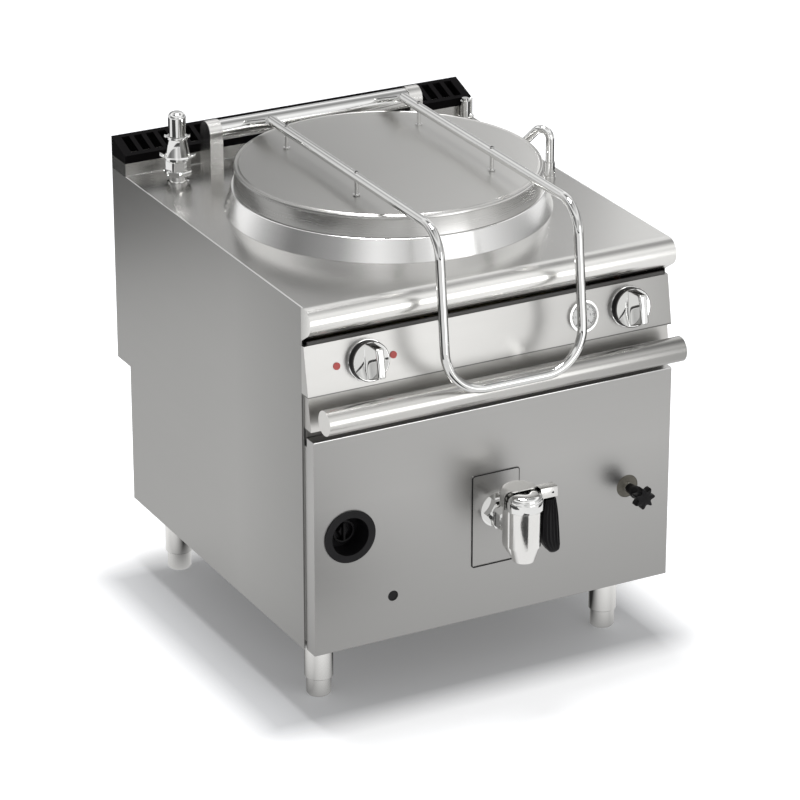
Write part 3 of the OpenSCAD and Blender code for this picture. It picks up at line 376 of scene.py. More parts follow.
def piece(name, grids, finish, body, instead=(), crisp=35.0):
    """Rows r and columns c of every grid give faces (r, c), (r, c+1), (r+1, c+1), (r+1, c); columns close round.
    Edges that turn by more than the crisp angle, in degrees, stay sharp."""
    points, faces, kinds, start = [], [], [], 0
    finishes = finish if isinstance(finish, (list, tuple)) else [finish]
    for k, grid in enumerate(grids):
        g = np.asarray(grid, float)
        rows, cols = g.shape[:2]
        i = start + np.arange(rows * cols).reshape(rows, cols)
        j = np.roll(i, -1, axis=1)
        faces.append(np.stack([i[:-1], j[:-1], j[1:], i[1:]], -1).reshape(-1, 4))
        kinds.append(np.full((rows - 1) * cols, min(k, len(finishes) - 1)))
        points.append(g.reshape(-1, 3))
        start += rows * cols
    mesh = bpy.data.meshes.new(name)
    mesh.from_pydata(np.concatenate(points), [], np.concatenate(faces))
    mesh.polygons.foreach_set("material_index", np.concatenate(kinds))
    b = bmesh.new()
    b.from_mesh(mesh)
    bmesh.ops.remove_doubles(b, verts=b.verts, dist=WELD)
    bmesh.ops.dissolve_degenerate(b, edges=b.edges, dist=SLIVER)
    bmesh.ops.recalc_face_normals(b, faces=b.faces)
    for edge in b.edges:
        edge.smooth = edge.calc_face_angle(0) < math.radians(crisp)
    for face in b.faces:
        face.smooth = True
    b.to_mesh(mesh)
    b.free()
    for f in finishes:
        mesh.materials.append(MATS[f])
    o = bpy.data.objects.new(name, mesh)
    bpy.context.collection.objects.link(o)
    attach(o, body)
    if instead:
        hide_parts(*instead)
    print(name, len(mesh.polygons), "faces")

# %% [markdown]
# A fitting is easiest to draw in its own directions: across its face, up its face and straight out of it. A spot holds
# such a place. It carries a profile round its axis, as a lathe does, or stacks outlines along it, as layers of card.

# %% Places with directions of their own
class Spot:
    """A place on the object with three directions of its own: u and v across, w outwards, all in millimetres."""
    def __init__(self, origin, u, v):
        self.origin, self.u, self.v = (np.asarray(t, float) for t in (origin, u, v))
        self.w = np.cross(self.u, self.v)

    def at(self, a, b, c):
        """The point origin + a u + b v + c w, for whole arrays."""
        a, b, c = np.broadcast_arrays(*(np.asarray(t, float)[..., None] for t in (a, b, c)))
        q = self.origin + a * self.u + b * self.v + c * self.w
        return at(q[..., 0], q[..., 1], q[..., 2])

    def turned(self, profile, n=96, lobes=0, deep=0.0):
        """A profile of (radius, height) is carried round w: radius (1 + deep cos(lobes phi)), height unchanged."""
        phi = np.linspace(0, 2 * np.pi, n, endpoint=False)
        r, h = np.asarray(profile, float).T[..., None]
        r = r * (1 + deep * np.cos(lobes * phi)) if lobes else r + 0 * phi
        return self.at(r * np.cos(phi), r * np.sin(phi), h + 0 * phi)

    def stack(self, outlines, heights):
        """Closed outlines (a, b) are stacked at their heights, and both ends close to their middle point."""
        outlines = [np.asarray(t, float) for t in outlines]
        rows = [outlines[0] * 0 + outlines[0].mean(0), *outlines, outlines[-1] * 0 + outlines[-1].mean(0)]
        h = np.array([heights[0], *heights, heights[-1]], float)[:, None]
        q = np.stack(rows)
        return self.at(q[..., 0], q[..., 1], h + 0 * q[..., 0])


PANEL_TILT, PANEL_Y, PANEL_Z = math.radians(10.25), -18.7, 742.8


def on_panel(x):
    """A spot on the control panel: u to the right, v up along the tilted face, w straight out of it."""
    return Spot((x, PANEL_Y, PANEL_Z), (1, 0, 0), (0, math.sin(PANEL_TILT), math.cos(PANEL_TILT)))


def facing_front(x, y, z):
    """A spot that looks to the front: u to the right, v up, w towards the viewer."""
    return Spot((x, y, z), (1, 0, 0), (0, 0, 1))


def facing_up(x, y, z):
    """A spot that looks upwards: u to the right, v to the back, w up."""
    return Spot((x, y, z), (1, 0, 0), (0, 1, 0))


print("the control panel faces", on_panel(0).w.round(3))

# %% [markdown]
# Hardly any edge of a casting or a folded sheet is sharp. So most outlines start as a rectangle with round corners.

# %% Soft outlines
def soft_box(a0, a1, b0, b1, r, n=6):
    """The outline of a rectangle with corners of radius r: four quarter circles joined by straight lines."""
    t = np.linspace(0, np.pi / 2, n)
    r = min(r, (a1 - a0) / 2.001, (b1 - b0) / 2.001)
    out = []
    for k, (ca, cb) in enumerate(((a1 - r, b1 - r), (a0 + r, b1 - r), (a0 + r, b0 + r), (a1 - r, b0 + r))):
        out.append(np.stack([ca + r * np.cos(t + k * np.pi / 2), cb + r * np.sin(t + k * np.pi / 2)], -1))
    return np.concatenate(out)


print("a soft square has", len(soft_box(-1, 1, -1, 1, 0.2)), "points")

# %% [markdown]
# Both control knobs are plated castings: a thick disc with a shallow dish in its face, crossed by a high grip. The
# disc is a turned profile. The grip is a stack of soft rectangles that get narrower quickly at its foot, which makes
# the hollow flank, and round off again at the front.

# %% Control knobs
def knob_grids(x):
    """Disc: a profile turned round w, with a dish 5 (1 - (r / 36.6)^2) deep. Grip: half its width at height h is
    8.3 + 7.5 exp(-(h - 13) / 5); its ends lean from 37.5 to 31.5 at the top and from -37 to -26 at the bottom, and
    its front is rounded over the last 5 mm."""
    s = on_panel(x)
    t = np.linspace(0, np.pi / 2, 8)
    edge = np.stack([37.7 + 1.8 * np.cos(t), 17.5 + 1.8 * np.sin(t)], -1)
    r = np.linspace(36.6, 0, 18)
    dish = np.stack([r, 19.0 - 5.0 * (1 - (r / 36.6) ** 2)], -1)
    flange = np.array([(0, 0.5), (41, 0.5), (41.3, 1.2), (41.3, 2.6), (40.8, 3.2), (39.6, 3.4)])
    wall = np.array([(39.6, 3.4), (39.4, 4.5), (39.4, 16.4), (39.5, 17.5)])
    h = np.concatenate([np.linspace(13, 30, 14), np.linspace(33, 57, 9), 57 + 5 * np.sin(np.linspace(0.2, 1.57, 8))])
    side = 8.3 + 7.5 * np.exp(-(h - 13) / 5.0)
    crown = 1 - np.sqrt(1 - np.clip((h - 57) / 5, 0, 1) ** 2)
    side = side - 4.5 * crown
    top = np.interp(h, [13, 24, 62], [37.5, 36.5, 31.5]) - 2.5 * crown
    low = np.interp(h, [13, 24, 62], [-37.0, -34, -26]) + 2.5 * crown
    grip = s.stack([soft_box(-a, a, b, c, 3.0) for a, b, c in zip(side, low, top)], h)
    face = np.concatenate([edge[-1:], dish])
    return [s.turned(profile, 120) for profile in (flange, wall, edge, face)] + [grip]


# On the plated knob the wall is black and the rounded edge of the dish dark grey: painted shade round the dish.
KNOB_FINISH = ["chrome", "knob_black", "shade", "mirror", "mirror"]
for name, x in (("heat_knob", -270.3), ("water_knob", 306.1)):
    piece(name + "_casting", knob_grids(x), KNOB_FINISH, name + "_body", [name])

# %% [markdown]
# The gas control sits deep in its black recess. It is a moulded ring with a rib across it and a fluted outside, so
# that fingers can turn it. Ring and hub are turned profiles whose radius waves a little, and the rib is a stack.

# %% Gas control
s = facing_front(-319.5, 0, 393)
ring = s.turned([(19.3, -4), (23.2, -4), (23.4, 12.5), (22.8, 14), (21, 14.3), (19.6, 13.8), (19.2, 12.5), (19.2, 3),
                 (0, 2.2)], 144, 18, 0.018)
hub = s.turned([(0, 11.5), (8.5, 11.5), (9.5, 10.5), (9.8, 2), (0, 2)][::-1], 72, 6, 0.12)
bar = soft_box(-2.6, 2.6, -19, 19, 1.5)
rib = s.stack([bar, bar, soft_box(-1.8, 1.8, -18, 18, 1.2)], [2, 15.5, 16.8])
stem = s.turned([(0, -8.7), (5, -8.7), (5, -3), (0, -3)], 32)
piece("gas_control", [ring, hub, rib, stem], "knob_black", "gas_knob_body", ["gas_knob"])

# %% [markdown]
# The drain tap is opened by a cast hood that turns round the tap's dome. Its wall follows two circles, one round the
# tap and one behind it, and its shoulder is rounded. An arm on the right carries the black grip, which folds up. The
# hood is one closed skin, drawn once outside and once 1.8 mm further in, as a casting has a wall and isn't solid.

# %% Drain lever
TAP_Y, LEVER_Z = -153.5, 430
s = facing_up(0, TAP_Y, LEVER_Z)
phi = np.radians(np.linspace(8, 172, 72))
wide = np.maximum(41.4, 20 * np.sin(phi) + np.sqrt(np.maximum(38 ** 2 - (20 * np.cos(phi)) ** 2, 1)))
t = np.linspace(0, np.pi / 2, 9)
rise = [(0.0, 3.0), (0.0, 24.0)] + [(-13 * (1 - math.cos(q)), 25.4 + 13 * math.sin(q)) for q in t]


def hood_rows(inset):
    """Wall and shoulder follow the outline; the last rows run straight to the front edge, which is a line."""
    a = [((wide - inset + dr) * np.cos(phi), (wide - inset + dr) * np.sin(phi), h - inset * (h > 25)) for dr, h in rise]
    x, y, h = a[-1]
    front = np.minimum(y, 1.0)
    return a + [(x * (1 - 0.04 * k), y + (front - y) * k, h + 0 * x) for k in (0.2, 0.4, 0.6, 0.8, 1.0)]


loop = hood_rows(0.0) + hood_rows(1.8)[::-1]
hood = s.at(*(np.stack([row[k] + 0 * phi for row in loop]) for k in range(3)))
hood = np.concatenate([hood, hood[:1]])
arm = Spot((0, TAP_Y, LEVER_Z), (0, 1, 0), (0, 0, 1))
back_of_arm = [(-12.5, 17), (-12.5, 35), (-11, 37.6), (-9, 38.4), (9, 38.4), (11, 37.6), (12.5, 35), (12.5, 17)]
core = np.array(back_of_arm + [(6.5, 17), (6.4, 17), (-6.4, 17), (-6.5, 17)])
fork = np.array(back_of_arm + [(6.5, 17), (6.5, 34), (-6.5, 34), (-6.5, 17)])
along_arm = ((core, 30), (core, 41), (fork, 41), (fork, 66), (fork * (0.98, 1) - (0, 0.4), 67))
yoke = np.stack([arm.at(q[:, 0], q[:, 1], x) for q, x in along_arm])
pin = Spot((56, TAP_Y, 457), (0, 0, 1), (1, 0, 0)).turned([(0, -13.2), (3.4, -13.2), (3.4, 13.2), (0, 13.2)], 32)
dot = Spot((56, -166, 457), (1, 0, 0), (0, 0, 1)).turned([(0, -1), (2.7, -1), (2.7, 0.45), (2.2, 0.8), (0, 0.8)], 32)
piece("drain_hood", [hood.transpose(1, 0, 2)[:, :-1], yoke, pin, dot], ["satin", "satin", "chrome", "knob_black"],
      "drain_lever_body", ["drain_lever"])

# %% [markdown]
# The grip is moulded round the arm's end. It widens slowly, sweeps back at its lower end, and has grooves down its
# front and back that keep it from slipping in a wet hand.

# %% Drain grip
def grip_rows(z):
    """Left and right edge of the moulded grip at a height z below the arm."""
    left = np.interp(-z, [-11.5, 10, 30, 62, 76, 88, 99, 105], [43, 39, 37, 36.5, 38, 43, 51, 57])
    right = np.interp(-z, [-11.5, 10, 30, 62, 90, 100, 105], [66, 70, 72.5, 75, 76.8, 76, 71])
    return left, right


GRIP_END, CORNER_POINTS = -105.5, 14


def grip_outline(z):
    """A soft rectangle whose front and back carry five shallow grooves, depth 0.8 (1 - cos) along the width."""
    a, b = grip_rows(z)
    end = 1 - 0.45 * np.exp(-(z - GRIP_END) / 3.5)
    q = soft_box(a, b, -12 * end, 12 * end, 6.0, CORNER_POINTS)
    ahead = np.roll(q, -1, axis=0)
    q = np.concatenate([np.linspace(q[k], ahead[k], 15, endpoint=False) if (k + 1) % CORNER_POINTS == 0 else q[k:k + 1]
                        for k in range(len(q))])
    share = (q[:, 0] - a) / (b - a)
    flat = np.abs(q[:, 1]) > 11 * end
    groove = 0.8 * (1 - np.cos(2 * np.pi * 5 * share)) * flat * np.clip((z + 98) / 10, 0, 1)
    q[:, 1] -= np.sign(q[:, 1]) * groove
    return q


zs = np.concatenate([np.linspace(GRIP_END, -96, 7), np.linspace(-90, 11.5, 23)])
grip = s.stack([grip_outline(z) for z in zs], zs)
tongue = s.stack([soft_box(48, 64, -6, 6, 2)] * 2, [8, 32])
piece("drain_grip_moulding", [grip, tongue], "knob_black", "drain_grip_body", ["drain_grip"])

# %% [markdown]
# The level tap is shut by a star knob on a long neck, with a short plated sleeve behind it. The star is a circle
# whose radius waves seven times, stacked with smaller copies at both ends. A flat disc closes the hole in the panel.

# %% Level tap
s = facing_front(300, 0, 366.6)
sleeve = s.turned([(0, 34.5), (9.5, 34.5), (9.8, 49.5), (8.6, 50), (0, 50)], 64)
neck = s.turned([(0, 50.2), (9.9, 50.2), (10.2, 60), (12.5, 68), (13, 76), (10.5, 84), (10.5, 94), (0, 94)], 64)
phi = np.linspace(0, 2 * np.pi, 147, endpoint=False)
star = 18.5 + 4.2 * np.cos(7 * phi - 0.4) + 0.9 * np.cos(14 * phi - 0.8)
outline = np.stack([star * np.cos(phi), star * np.sin(phi)], -1)
head = s.stack([outline * k for k in (0.55, 0.93, 1.0, 1.0, 0.93, 0.6)], [91, 93, 95, 108, 110.5, 112])
piece("level_star", [sleeve, neck, head], ["chrome", "knob_black", "knob_black"], "level_knob_body", ["level_knob"])
disc = s.turned([(9, 36), (24.2, 36), (24.6, 37.5), (24.2, 39), (11, 39.4), (9, 38.5), (9, 36)], 72)
piece("level_disc", [disc], "olive", "root", ())

# %% [markdown]
# The pressure gauge has a white dial. Its scale is a set of thin bars on a circle, with every fifth one longer. On the
# real dial it is printed. Here each bar is a very flat box, so that it stays sharp from close by.

# %% Gauge scale
GAUGE_X, FIRST, LAST = 202.4, 225, -45
s = on_panel(GAUGE_X)
marks = []
for k, deg in enumerate(np.linspace(FIRST, LAST, 31)):
    q = math.radians(deg)
    inner, half = (20.5, 0.55) if k % 5 == 0 else (22.5, 0.28)
    c, d = np.array([math.cos(q), math.sin(q)]), np.array([-math.sin(q), math.cos(q)])
    box = np.array([c * inner - d * half, c * 25 - d * half, c * 25 + d * half, c * inner + d * half])
    marks.append(s.stack([box, box], [1.9, 2.15]))
marks.append(s.turned([(25.1, 1.9), (25.5, 1.9), (25.5, 2.1), (25.1, 2.1), (25.1, 1.9)], 96))
piece("gauge_scale", marks, "knob_black", "root", ())

# %% [markdown]
# The numbers run from 0 to 6. Each one starts as a text object, which becomes a mesh and is then laid on the dial.

# %% Gauge numbers
NUMBER_HEIGHT, NUMBER_DEPTH, NUMBER_RADIUS = 0.0062, 0.0001, 16.3
for k, deg in enumerate(np.linspace(FIRST, LAST, 7)):
    q = math.radians(deg)
    text = bpy.data.curves.new("number", "FONT")
    text.body, text.size, text.extrude = str(k), NUMBER_HEIGHT, NUMBER_DEPTH
    text.align_x = text.align_y = "CENTER"
    flat = bpy.data.objects.new("number", text)
    bpy.context.collection.objects.link(flat)
    bpy.context.view_layer.update()
    mesh = bpy.data.meshes.new_from_object(flat.evaluated_get(bpy.context.evaluated_depsgraph_get()))
    bpy.data.objects.remove(flat)
    v = np.zeros(len(mesh.vertices) * 3)
    mesh.vertices.foreach_get("co", v)
    v = v.reshape(-1, 3) * 1000
    v = s.at(v[:, 0] + NUMBER_RADIUS * math.cos(q), v[:, 1] + NUMBER_RADIUS * math.sin(q), v[:, 2] + 2.05)
    mesh.vertices.foreach_set("co", v.ravel())
    mesh.materials.clear()
    mesh.materials.append(MATS["knob_black"])
    o = bpy.data.objects.new("gauge_number_%d" % k, mesh)
    bpy.context.collection.objects.link(o)
    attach(o, "root")
print("7 numbers on the dial")

# %% [markdown]
# The hand is a thin tapered blade on a small boss, with a round spot near its tip. It rests at the first mark.

# %% Gauge needle
q = math.radians(FIRST)
c, d = np.array([math.cos(q), math.sin(q)]), np.array([-math.sin(q), math.cos(q)])
blade = np.array([c * -7 - d * 0.9, c * 20 - d * 0.25, c * 20 + d * 0.25, c * -7 + d * 0.9])
hand = s.stack([blade, blade], [2.7, 3.3])
boss = s.turned([(0, -6), (1.2, -6), (1.2, 2.4), (3, 2.4), (3, 3.4), (2.3, 3.9), (0, 4.0)], 40)
tip = Spot(s.origin + 17 * (c[0] * s.u + c[1] * s.v), s.u, s.v).turned(
    [(0, 2.6), (1.8, 2.6), (1.8, 3.4), (0, 3.4)], 28)
piece("gauge_hand", [hand, boss, tip], "knob_black", "needle_body", ["gauge_needle"])

# %% [markdown]
# The collar round the pan is a ring of sheet that flares towards the worktop. Because it leans back a little it
# mirrors the bright and dark parts of the studio, which a plain upright ring can't do.

# %% Collar
s = facing_up(0, PAN_Y, 0)
collar = s.turned([(303.4, 868), (328.6, 868), (328.8, 870.5), (328.2, 872), (314.4, 912.6), (313.9, 914.2),
                   (312.9, 914.9), (304.4, 914.9), (303.4, 914), (303.4, 868)], 240)
piece("collar_skirt", [collar], "collar", "root", ["pan_collar"], 25)

# %% [markdown]
# The lid is a pressed shell: a low dome, a shallow groove near the rim, a rolled edge, and a wall that flares by a
# few millimetres. Its top and its wall are two finishes of one steel: the wall's lighter tone is a painted highlight.

# %% Lid
r = np.linspace(0, 297, 26)
dome = np.stack([r, 967.8 - 9.4 * (r / 309) ** 2], -1)
q = np.linspace(0, 1, 9)
groove = np.stack([297 + 8 * q, 959.1 - 1.6 * np.sin(np.pi * q) - 0.6 * q], -1)
t = np.linspace(0, np.pi / 2, 7)
shoulder = np.stack([305 + 2.2 * np.sin(t), 956.3 + 2.2 * np.cos(t)], -1)
wall = np.array([(307.6, 955.4), (307.9, 953), (306.6, 951.6), (306.4, 950), (309.0, 917), (309.2, 915.4),
                 (306.9, 915.4), (304.4, 950), (303, 954.4), (297, 956.4)])
under = np.stack([r[::-1], 965.6 - 9.4 * (r[::-1] / 309) ** 2], -1)
top = np.concatenate([dome, groove, shoulder])
rest = np.concatenate([shoulder[-1:], wall, under])
piece("lid_pressing", [s.turned(top, 240), s.turned(rest, 240)], ["lid", "wall"], "lid", ["lid_shell"],
      30)

# %% [markdown]
# The drain tap is a satin casting: a round column in front of a softer block that carries it, with a tapered nozzle
# below. The plate behind it is a sheet with a dark rim all round, where its edge casts a shadow.

# %% Drain tap body
s = facing_up(0, TAP_Y, 0)
column = s.turned([(0, 430.2), (32.4, 430.2), (32.9, 429.6), (32.9, 352.5), (32.2, 350.6), (30.6, 349.8), (30.3, 348.6),
                   (22.6, 321.4), (21.8, 320.2), (18.4, 320.0), (18.2, 340), (0, 340)], 96)
levels = [(322, 0.62, 14), (331, 0.74, 17), (341, 0.88, 23), (350, 1.0, 29.4), (356, 1.02, 29.7), (424, 1.02, 29.7),
          (429.4, 1.0, 29.4)]
block = s.stack([soft_box(-34.5 * width, 34.5 * width, -4, depth, 9, 8) for h, width, depth in levels],
                [h for h, width, depth in levels])
piece("drain_column", [column, block], ["tap", "tap"], "root", ["drain_tap_body"])

# %% [markdown]
# A plated cap closes the tap on top. Its foot is upright, its shoulder is a quarter of an ellipse and its middle dips.

# %% Drain dome and plate rim
t = np.linspace(0, np.pi / 2, 10)
foot = [(0, 430.4), (36.8, 430.4), (37.5, 431.2), (37.5, 448.5), (36.9, 450.2), (36.1, 451.0)]
dome = np.stack([22.5 + 13.6 * np.cos(t), 452.6 + 11.2 * np.sin(t)], -1)
cap = s.turned(np.concatenate([foot, dome, [(14, 464.3), (12, 463.6), (0, 463.2)]]), 96)
piece("drain_dome", [cap], "chrome", "root", ["drain_dome_cap"])
face = facing_front(0, 0, 384.6)
outside, inside = soft_box(-52.3, 52.3, -119.5, 77.3, 4.5).T, soft_box(-51, 51, -118.2, 76, 4.5).T
loop = [face.at(*outline, h) for outline, h in ((outside, 40.2), (outside, 42.2), (inside, 42.2), (inside, 40.2))]
piece("plate_rim", [np.stack(loop + loop[:1])], "knob_black", "root", ())

# %% [markdown]
# Each leg is a tube with a thinner foot screwed into it. The shade in the narrow groove where the two meet is
# painted: a thin dark ring round the tube's lower end, because a real groove this narrow would be lost in the picture.

# %% Leg groove shade
grooves = [facing_up(x, y, 0).turned([(24.9, 38.4), (26.4, 38.4), (26.4, 40.4), (24.9, 40.4), (24.9, 38.4)], 48)
           for x in (-325, 325) for y in (87.5, 740)]
piece("leg_groove_shade", grooves, "shade", "root", ())

# %% [markdown]
# The welded edges of the worktop are polished round. They catch the light as a thin bright line on either side and
# along the foot of the riser, and so does the top fold of the front panel. A rounding of the solids would do this
# too. A thin rod laid into each edge does the same and leaves the solids as they are.

# %% Polished edges
def bead(start, end, u, v, r=1.1):
    """A closed rod of radius r from one point to the other; u and v span its circle."""
    q = np.linspace(0, 2 * np.pi, 10, endpoint=False)
    spot = Spot(start, u, v)
    circle = np.stack([r * np.cos(q), r * np.sin(q)], -1)
    return spot.stack([circle] * 2, [0, float(np.dot(np.subtract(end, start), spot.w))])


edges = [bead((x, 793, 869.6), (x, -8, 869.6), (1, 0, 0), (0, 0, 1)) for x in (-399.2, 399.2)]
edges.append(bead((-398, 793, 870.6), (398, 793, 870.6), (0, 1, 0), (0, 0, 1)))
edges.append(bead((-395.5, -40.2, 603.4), (395.5, -40.2, 603.4), (0, 1, 0), (0, 0, 1), 0.9))
piece("worktop_edges", edges, "chrome", "root", ())

# %% [markdown]
# A folded strip closes the gap between the worktop's rolled front and the control panel. It lies in shade, so it is
# one soft rectangle carried from side to side in a dark finish.

# %% Strip above the control panel
across = Spot((-391, 0, 0), (0, 1, 0), (0, 0, 1))
strip = across.stack([soft_box(-9.2, -4.5, 789.5, 798.5, 1.2)] * 2, [0, 782])
piece("reveal_strip", [strip], "shade", "root", ())

# %% [markdown]
# The safety valve stands on a short stem. From below it has a hexagon flange, a hexagon nut, a disc with two ears
# that turn up at their ends, a tapered collar and a ring with two smaller ears; the cap above it slides. Round parts
# are turned, the hexagons are stacked, and the ears are bars bent along a curve.

# %% Safety valve
s = facing_up(-316, 721, 870)
CORNER_CUT = 0.048


def hexagon(r, turn=0.3):
    """Radius r cos(30) / cos(angle from the middle of a side), and its corners are cut back to a circle."""
    phi = np.linspace(0, 2 * np.pi, 96, endpoint=False)
    side = (phi - turn) % (np.pi / 3) - np.pi / 6
    rr = np.minimum(r * math.cos(math.pi / 6) / np.cos(side), r * (1 - CORNER_CUT))
    return np.stack([rr * np.cos(phi), rr * np.sin(phi)], -1)


stem = s.turned([(0, 0), (23, 0), (23, 3), (18.5, 4), (18, 16), (20, 17), (0, 17)], 72)
foot = s.stack([hexagon(r) for r in (29, 31, 31, 29)], [16, 17.5, 24, 25.5])
nut = s.stack([hexagon(r, 0.75) for r in (25.5, 27.5, 27.5, 25.5)], [26, 28, 46, 48.5])
neck = s.turned([(0, 25), (23, 25), (22.5, 27), (0, 27)], 64)
disc = s.turned([(0, 48.5), (25, 48.5), (28.5, 50), (28.5, 54), (26, 56.5), (25.5, 58), (19.8, 89), (19.6, 92),
                 (22, 92.6), (22.4, 94), (22.2, 96.6), (21, 97.8), (0, 97.8)], 96)
u = np.linspace(-1, 1, 21)
c, d = math.cos(math.radians(-27)), math.sin(math.radians(-27))


def ears(reach, low, half, lift):
    """A flat bar across the valve: it is level in the middle and its ends rise by lift times |u| to the sixth."""
    rows = []
    for x, k in [(u[0] * reach, 0.0)] + [(q * reach, 1.0) for q in u] + [(u[-1] * reach, 0.0)]:
        z = low + lift * abs(x / reach) ** 6
        w = soft_box(-half * k - 1e-4, half * k + 1e-4, z - 2.2 * k, z + 2.2 * k, 1.5)
        rows.append(s.at(x * c - w[:, 0] * d, x * d + w[:, 0] * c, w[:, 1]))
    return np.stack(rows)


ear_pairs = [ears(36, 52.4, 6, 6), ears(26, 95, 4, 2.5)]
piece("safety_valve_casting", [stem, foot, neck, nut, disc, *ear_pairs], "chrome", "root", ["safety_valve_body"],
      28)

# %% [markdown]
# The handle's tube is screwed to the lid. Small dark screw heads show on it: one on each leg and two on each arm.

# %% Handle screws
TUBE_X, TUBE_Z, LEG_LEAN = 150, 1002, math.radians(6.5)
leg_screw = [(0, 8.2), (3.0, 8.2), (3.0, 9.9), (2.2, 10.5), (0, 10.7)]
arm_screw = [(0, 8.0), (4.4, 8.0), (4.4, 10.8), (3.2, 11.6), (0, 11.8)]
dots = []
for x in (-TUBE_X, TUBE_X):
    front = Spot((x, -73.5, 939.5), (1, 0, 0), (0, math.sin(LEG_LEAN), math.cos(LEG_LEAN)))
    dots.append(front.turned(leg_screw, 24))
    dots += [facing_up(x, y, TUBE_Z).turned(arm_screw, 24) for y in (255, 559)]
piece("handle_screws", dots, "knob_black", "lid", ())

# %% [markdown]
# The studio is a pale floor and an even, soft light. The world is white to the camera; metal sees a studio with
# bright and dark directions round the horizon and a bright band higher up, because polished metal only looks like
# metal when it reflects both.

# %% World
world = bpy.data.worlds.new("studio")
bpy.context.scene.world = world
w = Mat("studio", world)
direction = w.node("ShaderNodeTexCoord", None, out=0)
dx, dy, dz = w.split(direction)
compass = dy.angle(dx) / (2 * math.pi) + 0.5
HIGH_LEVEL, MIRRORED_LEVEL, SOFT_LEVEL = 1.7, 0.62, 0.45
STUDIO = ((-180, 0.3), (-150, 0.5), (-126, 1.5), (-104, 0.9), (-62, 1.5), (-30, 0.9), (0, 0.45), (30, 0.6), (52, 1.0),
          (66, 0.85), (80, 0.35), (102, 0.3), (122, 1.5), (146, 0.7), (172, 0.25), (180, 0.3))
around = w.ramp(compass, *[((deg + 180) / 360, level / 2) for deg, level in STUDIO]) * 2
high = w.ramp(dz, (0.47, 0.0), (0.55, 1.0), (0.70, 1.0), (0.82, 0.0))
seen = around * (1 - high) + high * HIGH_LEVEL
RAYS = ("Is Camera Ray", "Is Glossy Ray", "Is Transmission Ray")
w.node("ShaderNodeLightPath")
camera_ray, glossy_ray, through_ray = (Val(w, w.last.outputs[k]) for k in RAYS)
white = w.node("ShaderNodeBackground", None, Color=(1, 1, 1), Strength=1.0)
metal = w.node("ShaderNodeBackground", None, Color=(1, 1, 1), Strength=seen * MIRRORED_LEVEL)
soft = w.node("ShaderNodeBackground", None, Color=(1, 1, 1), Strength=SOFT_LEVEL)
unseen = w.node("ShaderNodeMixShader", None, glossy_ray, soft, metal)
sky = w.node("ShaderNodeMixShader", None, camera_ray + through_ray, unseen, white)
w.tree.links.new(sky.socket, w.out.inputs[0])
print(len(STUDIO), "directions in the studio")

# %% [markdown]
# The floor is a plain pale sheet that takes the pan's shadow. It glows a little to the camera, less in a rectangle
# round the pan, a painted shadow joined to the lamp's, so that it is white further off and the shadow keeps its depth.
# Metal sees a dimmer floor, and a dark one below the pan, a painted shadow in its reflections.

# %% How far from the pan
FLOOR_HALF, BELOW = 60.0, -0.0005
f = Mat("floor")
f.node("ShaderNodeLightPath")
camera_ray, glossy_ray, through_ray = (Val(f, f.last.outputs[k]) for k in RAYS)
x, y, _ = f.split(f.coords())
side_x, side_y = (x + 0.03).abs() - 0.43, (y - 0.03).abs() - 0.37
far_x = (side_x * 0.5 + (side_x * 0.5).abs()) ** 2
far_y = (side_y * 0.5 + (side_y * 0.5).abs()) ** 2
far = (far_x + far_y) ** 0.5
nearest = (side_x + side_y + (side_x - side_y).abs()) * 0.5
print("the floor grows lighter away from a rectangle of 0.86 by 0.74 m")

# %% Floor
lit = f.node("ShaderNodeBsdfDiffuse", None, Color=(0.665, 0.673, 0.69))
# Less glow near the pan: a painted shadow.
level = f.ramp(far, (0.0, 0.14), (0.10, 0.64))
glow = f.node("ShaderNodeEmission", None, Color=level, Strength=camera_ray + through_ray)
plainly = f.node("ShaderNodeAddShader", None, lit, glow)
# Dark below the pan in reflections only: a painted shadow.
under = f.ramp(nearest / 0.16 + 1, (0.0, 0.04), (1.0, 1.0))
mirrored = f.node("ShaderNodeEmission", None, Color=f.ramp(far, (0.0, 0.60), (0.14, 0.90)) * under, Strength=1.0)
chosen = f.node("ShaderNodeMixShader", None, glossy_ray, plainly, mirrored)
f.tree.links.new(chosen.socket, f.out.inputs[0])


def sheet(name, x0, x1, y0, y1, material):
    """A flat sheet on the floor: four corners and one face."""
    o = bpy.data.objects.new(name, bpy.data.meshes.new(name))
    o.data.from_pydata([(x0, y0, 0), (x1, y0, 0), (x1, y1, 0), (x0, y1, 0)], [], [(0, 1, 2, 3)])
    bpy.context.collection.objects.link(o)
    o.data.materials.append(material)
    return o


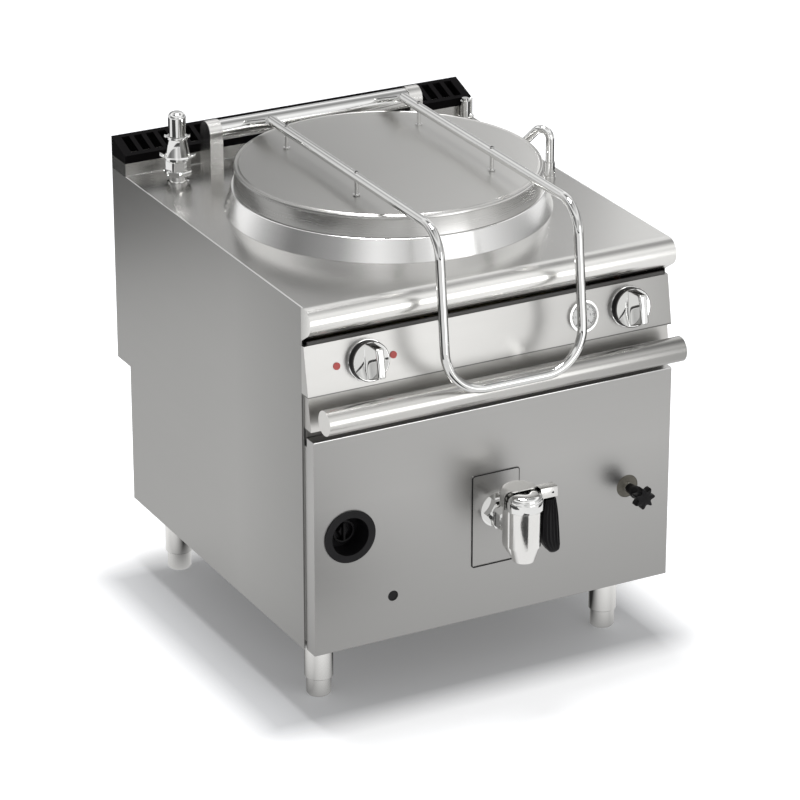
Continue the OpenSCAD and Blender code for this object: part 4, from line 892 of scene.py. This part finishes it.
floor = sheet("floor", -FLOOR_HALF, FLOOR_HALF, -FLOOR_HALF, FLOOR_HALF, f.block)
floor.location.z = BELOW
print("floor", 2 * FLOOR_HALF, "m wide")

# %% [markdown]
# A photographer lays dark cards beside polished metal, so that its edges read. These lie on the floor round the
# pan, a small one in front of it. Only reflections see them: the camera, the lamps and the shadows don't.

# %% Dark cards
card_paint = Mat("dark_card")
card_noise = card_paint.noise(card_paint.coords(), 3.0)
card_paint.finish(None, Base_Color=card_paint.ramp(card_noise, (0.0, 0.02), (1.0, 0.03)), Roughness=0.9)
CARDS = {"card_right": (1.45, 4.5, -1.5, 0.7), "card_behind": (0.5, 4.5, 0.7, 4.5), "card_back": (-3.2, 0.5, 2.15, 4.5),
         "card_left": (-4.5, -1.75, -1.7, 0.5), "card_front": (-0.62, 0.0, -1.62, -0.9), "card_far": (-22, 0, -30, -9)}
for name, corners in CARDS.items():
    card = sheet(name, *corners, card_paint.block)
    card.visible_camera = card.visible_diffuse = card.visible_shadow = card.visible_transmission = False
print(len(CARDS), "cards")

# %% [markdown]
# One large lamp overhead gives the soft shadow below the pan. Two weak ones lighten the front and the right side.

# %% Lamps
def lamp(name, place, target, size, watts):
    """An area lamp of the given size in metres, turned so that its -Z axis points from its place to the target."""
    light = bpy.data.lights.new(name, "AREA")
    light.shape, light.size, light.size_y = "RECTANGLE", *size
    light.energy = watts
    o = bpy.data.objects.new(name, light)
    bpy.context.collection.objects.link(o)
    o.location = place
    o.visible_camera = False
    o.rotation_euler = (Vector(target) - Vector(place)).to_track_quat("-Z", "Y").to_euler()
    print(name, watts, "W")


lamp("key_overhead", (-0.1, 0.35, 4.6), (-0.05, 0.0, 0.0), (1.4, 1.4), 165)
lamp("softbox_front", (0.8, -2.75, 0.9), (0, -0.3, 0.6), (1.3, 1.3), 8)
lamp("softbox_right", (2.3, 1.9, 1.9), (0.2, 0, 0.9), (1.2, 1.2), 3)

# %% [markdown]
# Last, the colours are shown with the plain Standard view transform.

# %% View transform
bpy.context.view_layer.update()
view = bpy.context.scene.view_settings
view.view_transform = "Standard"
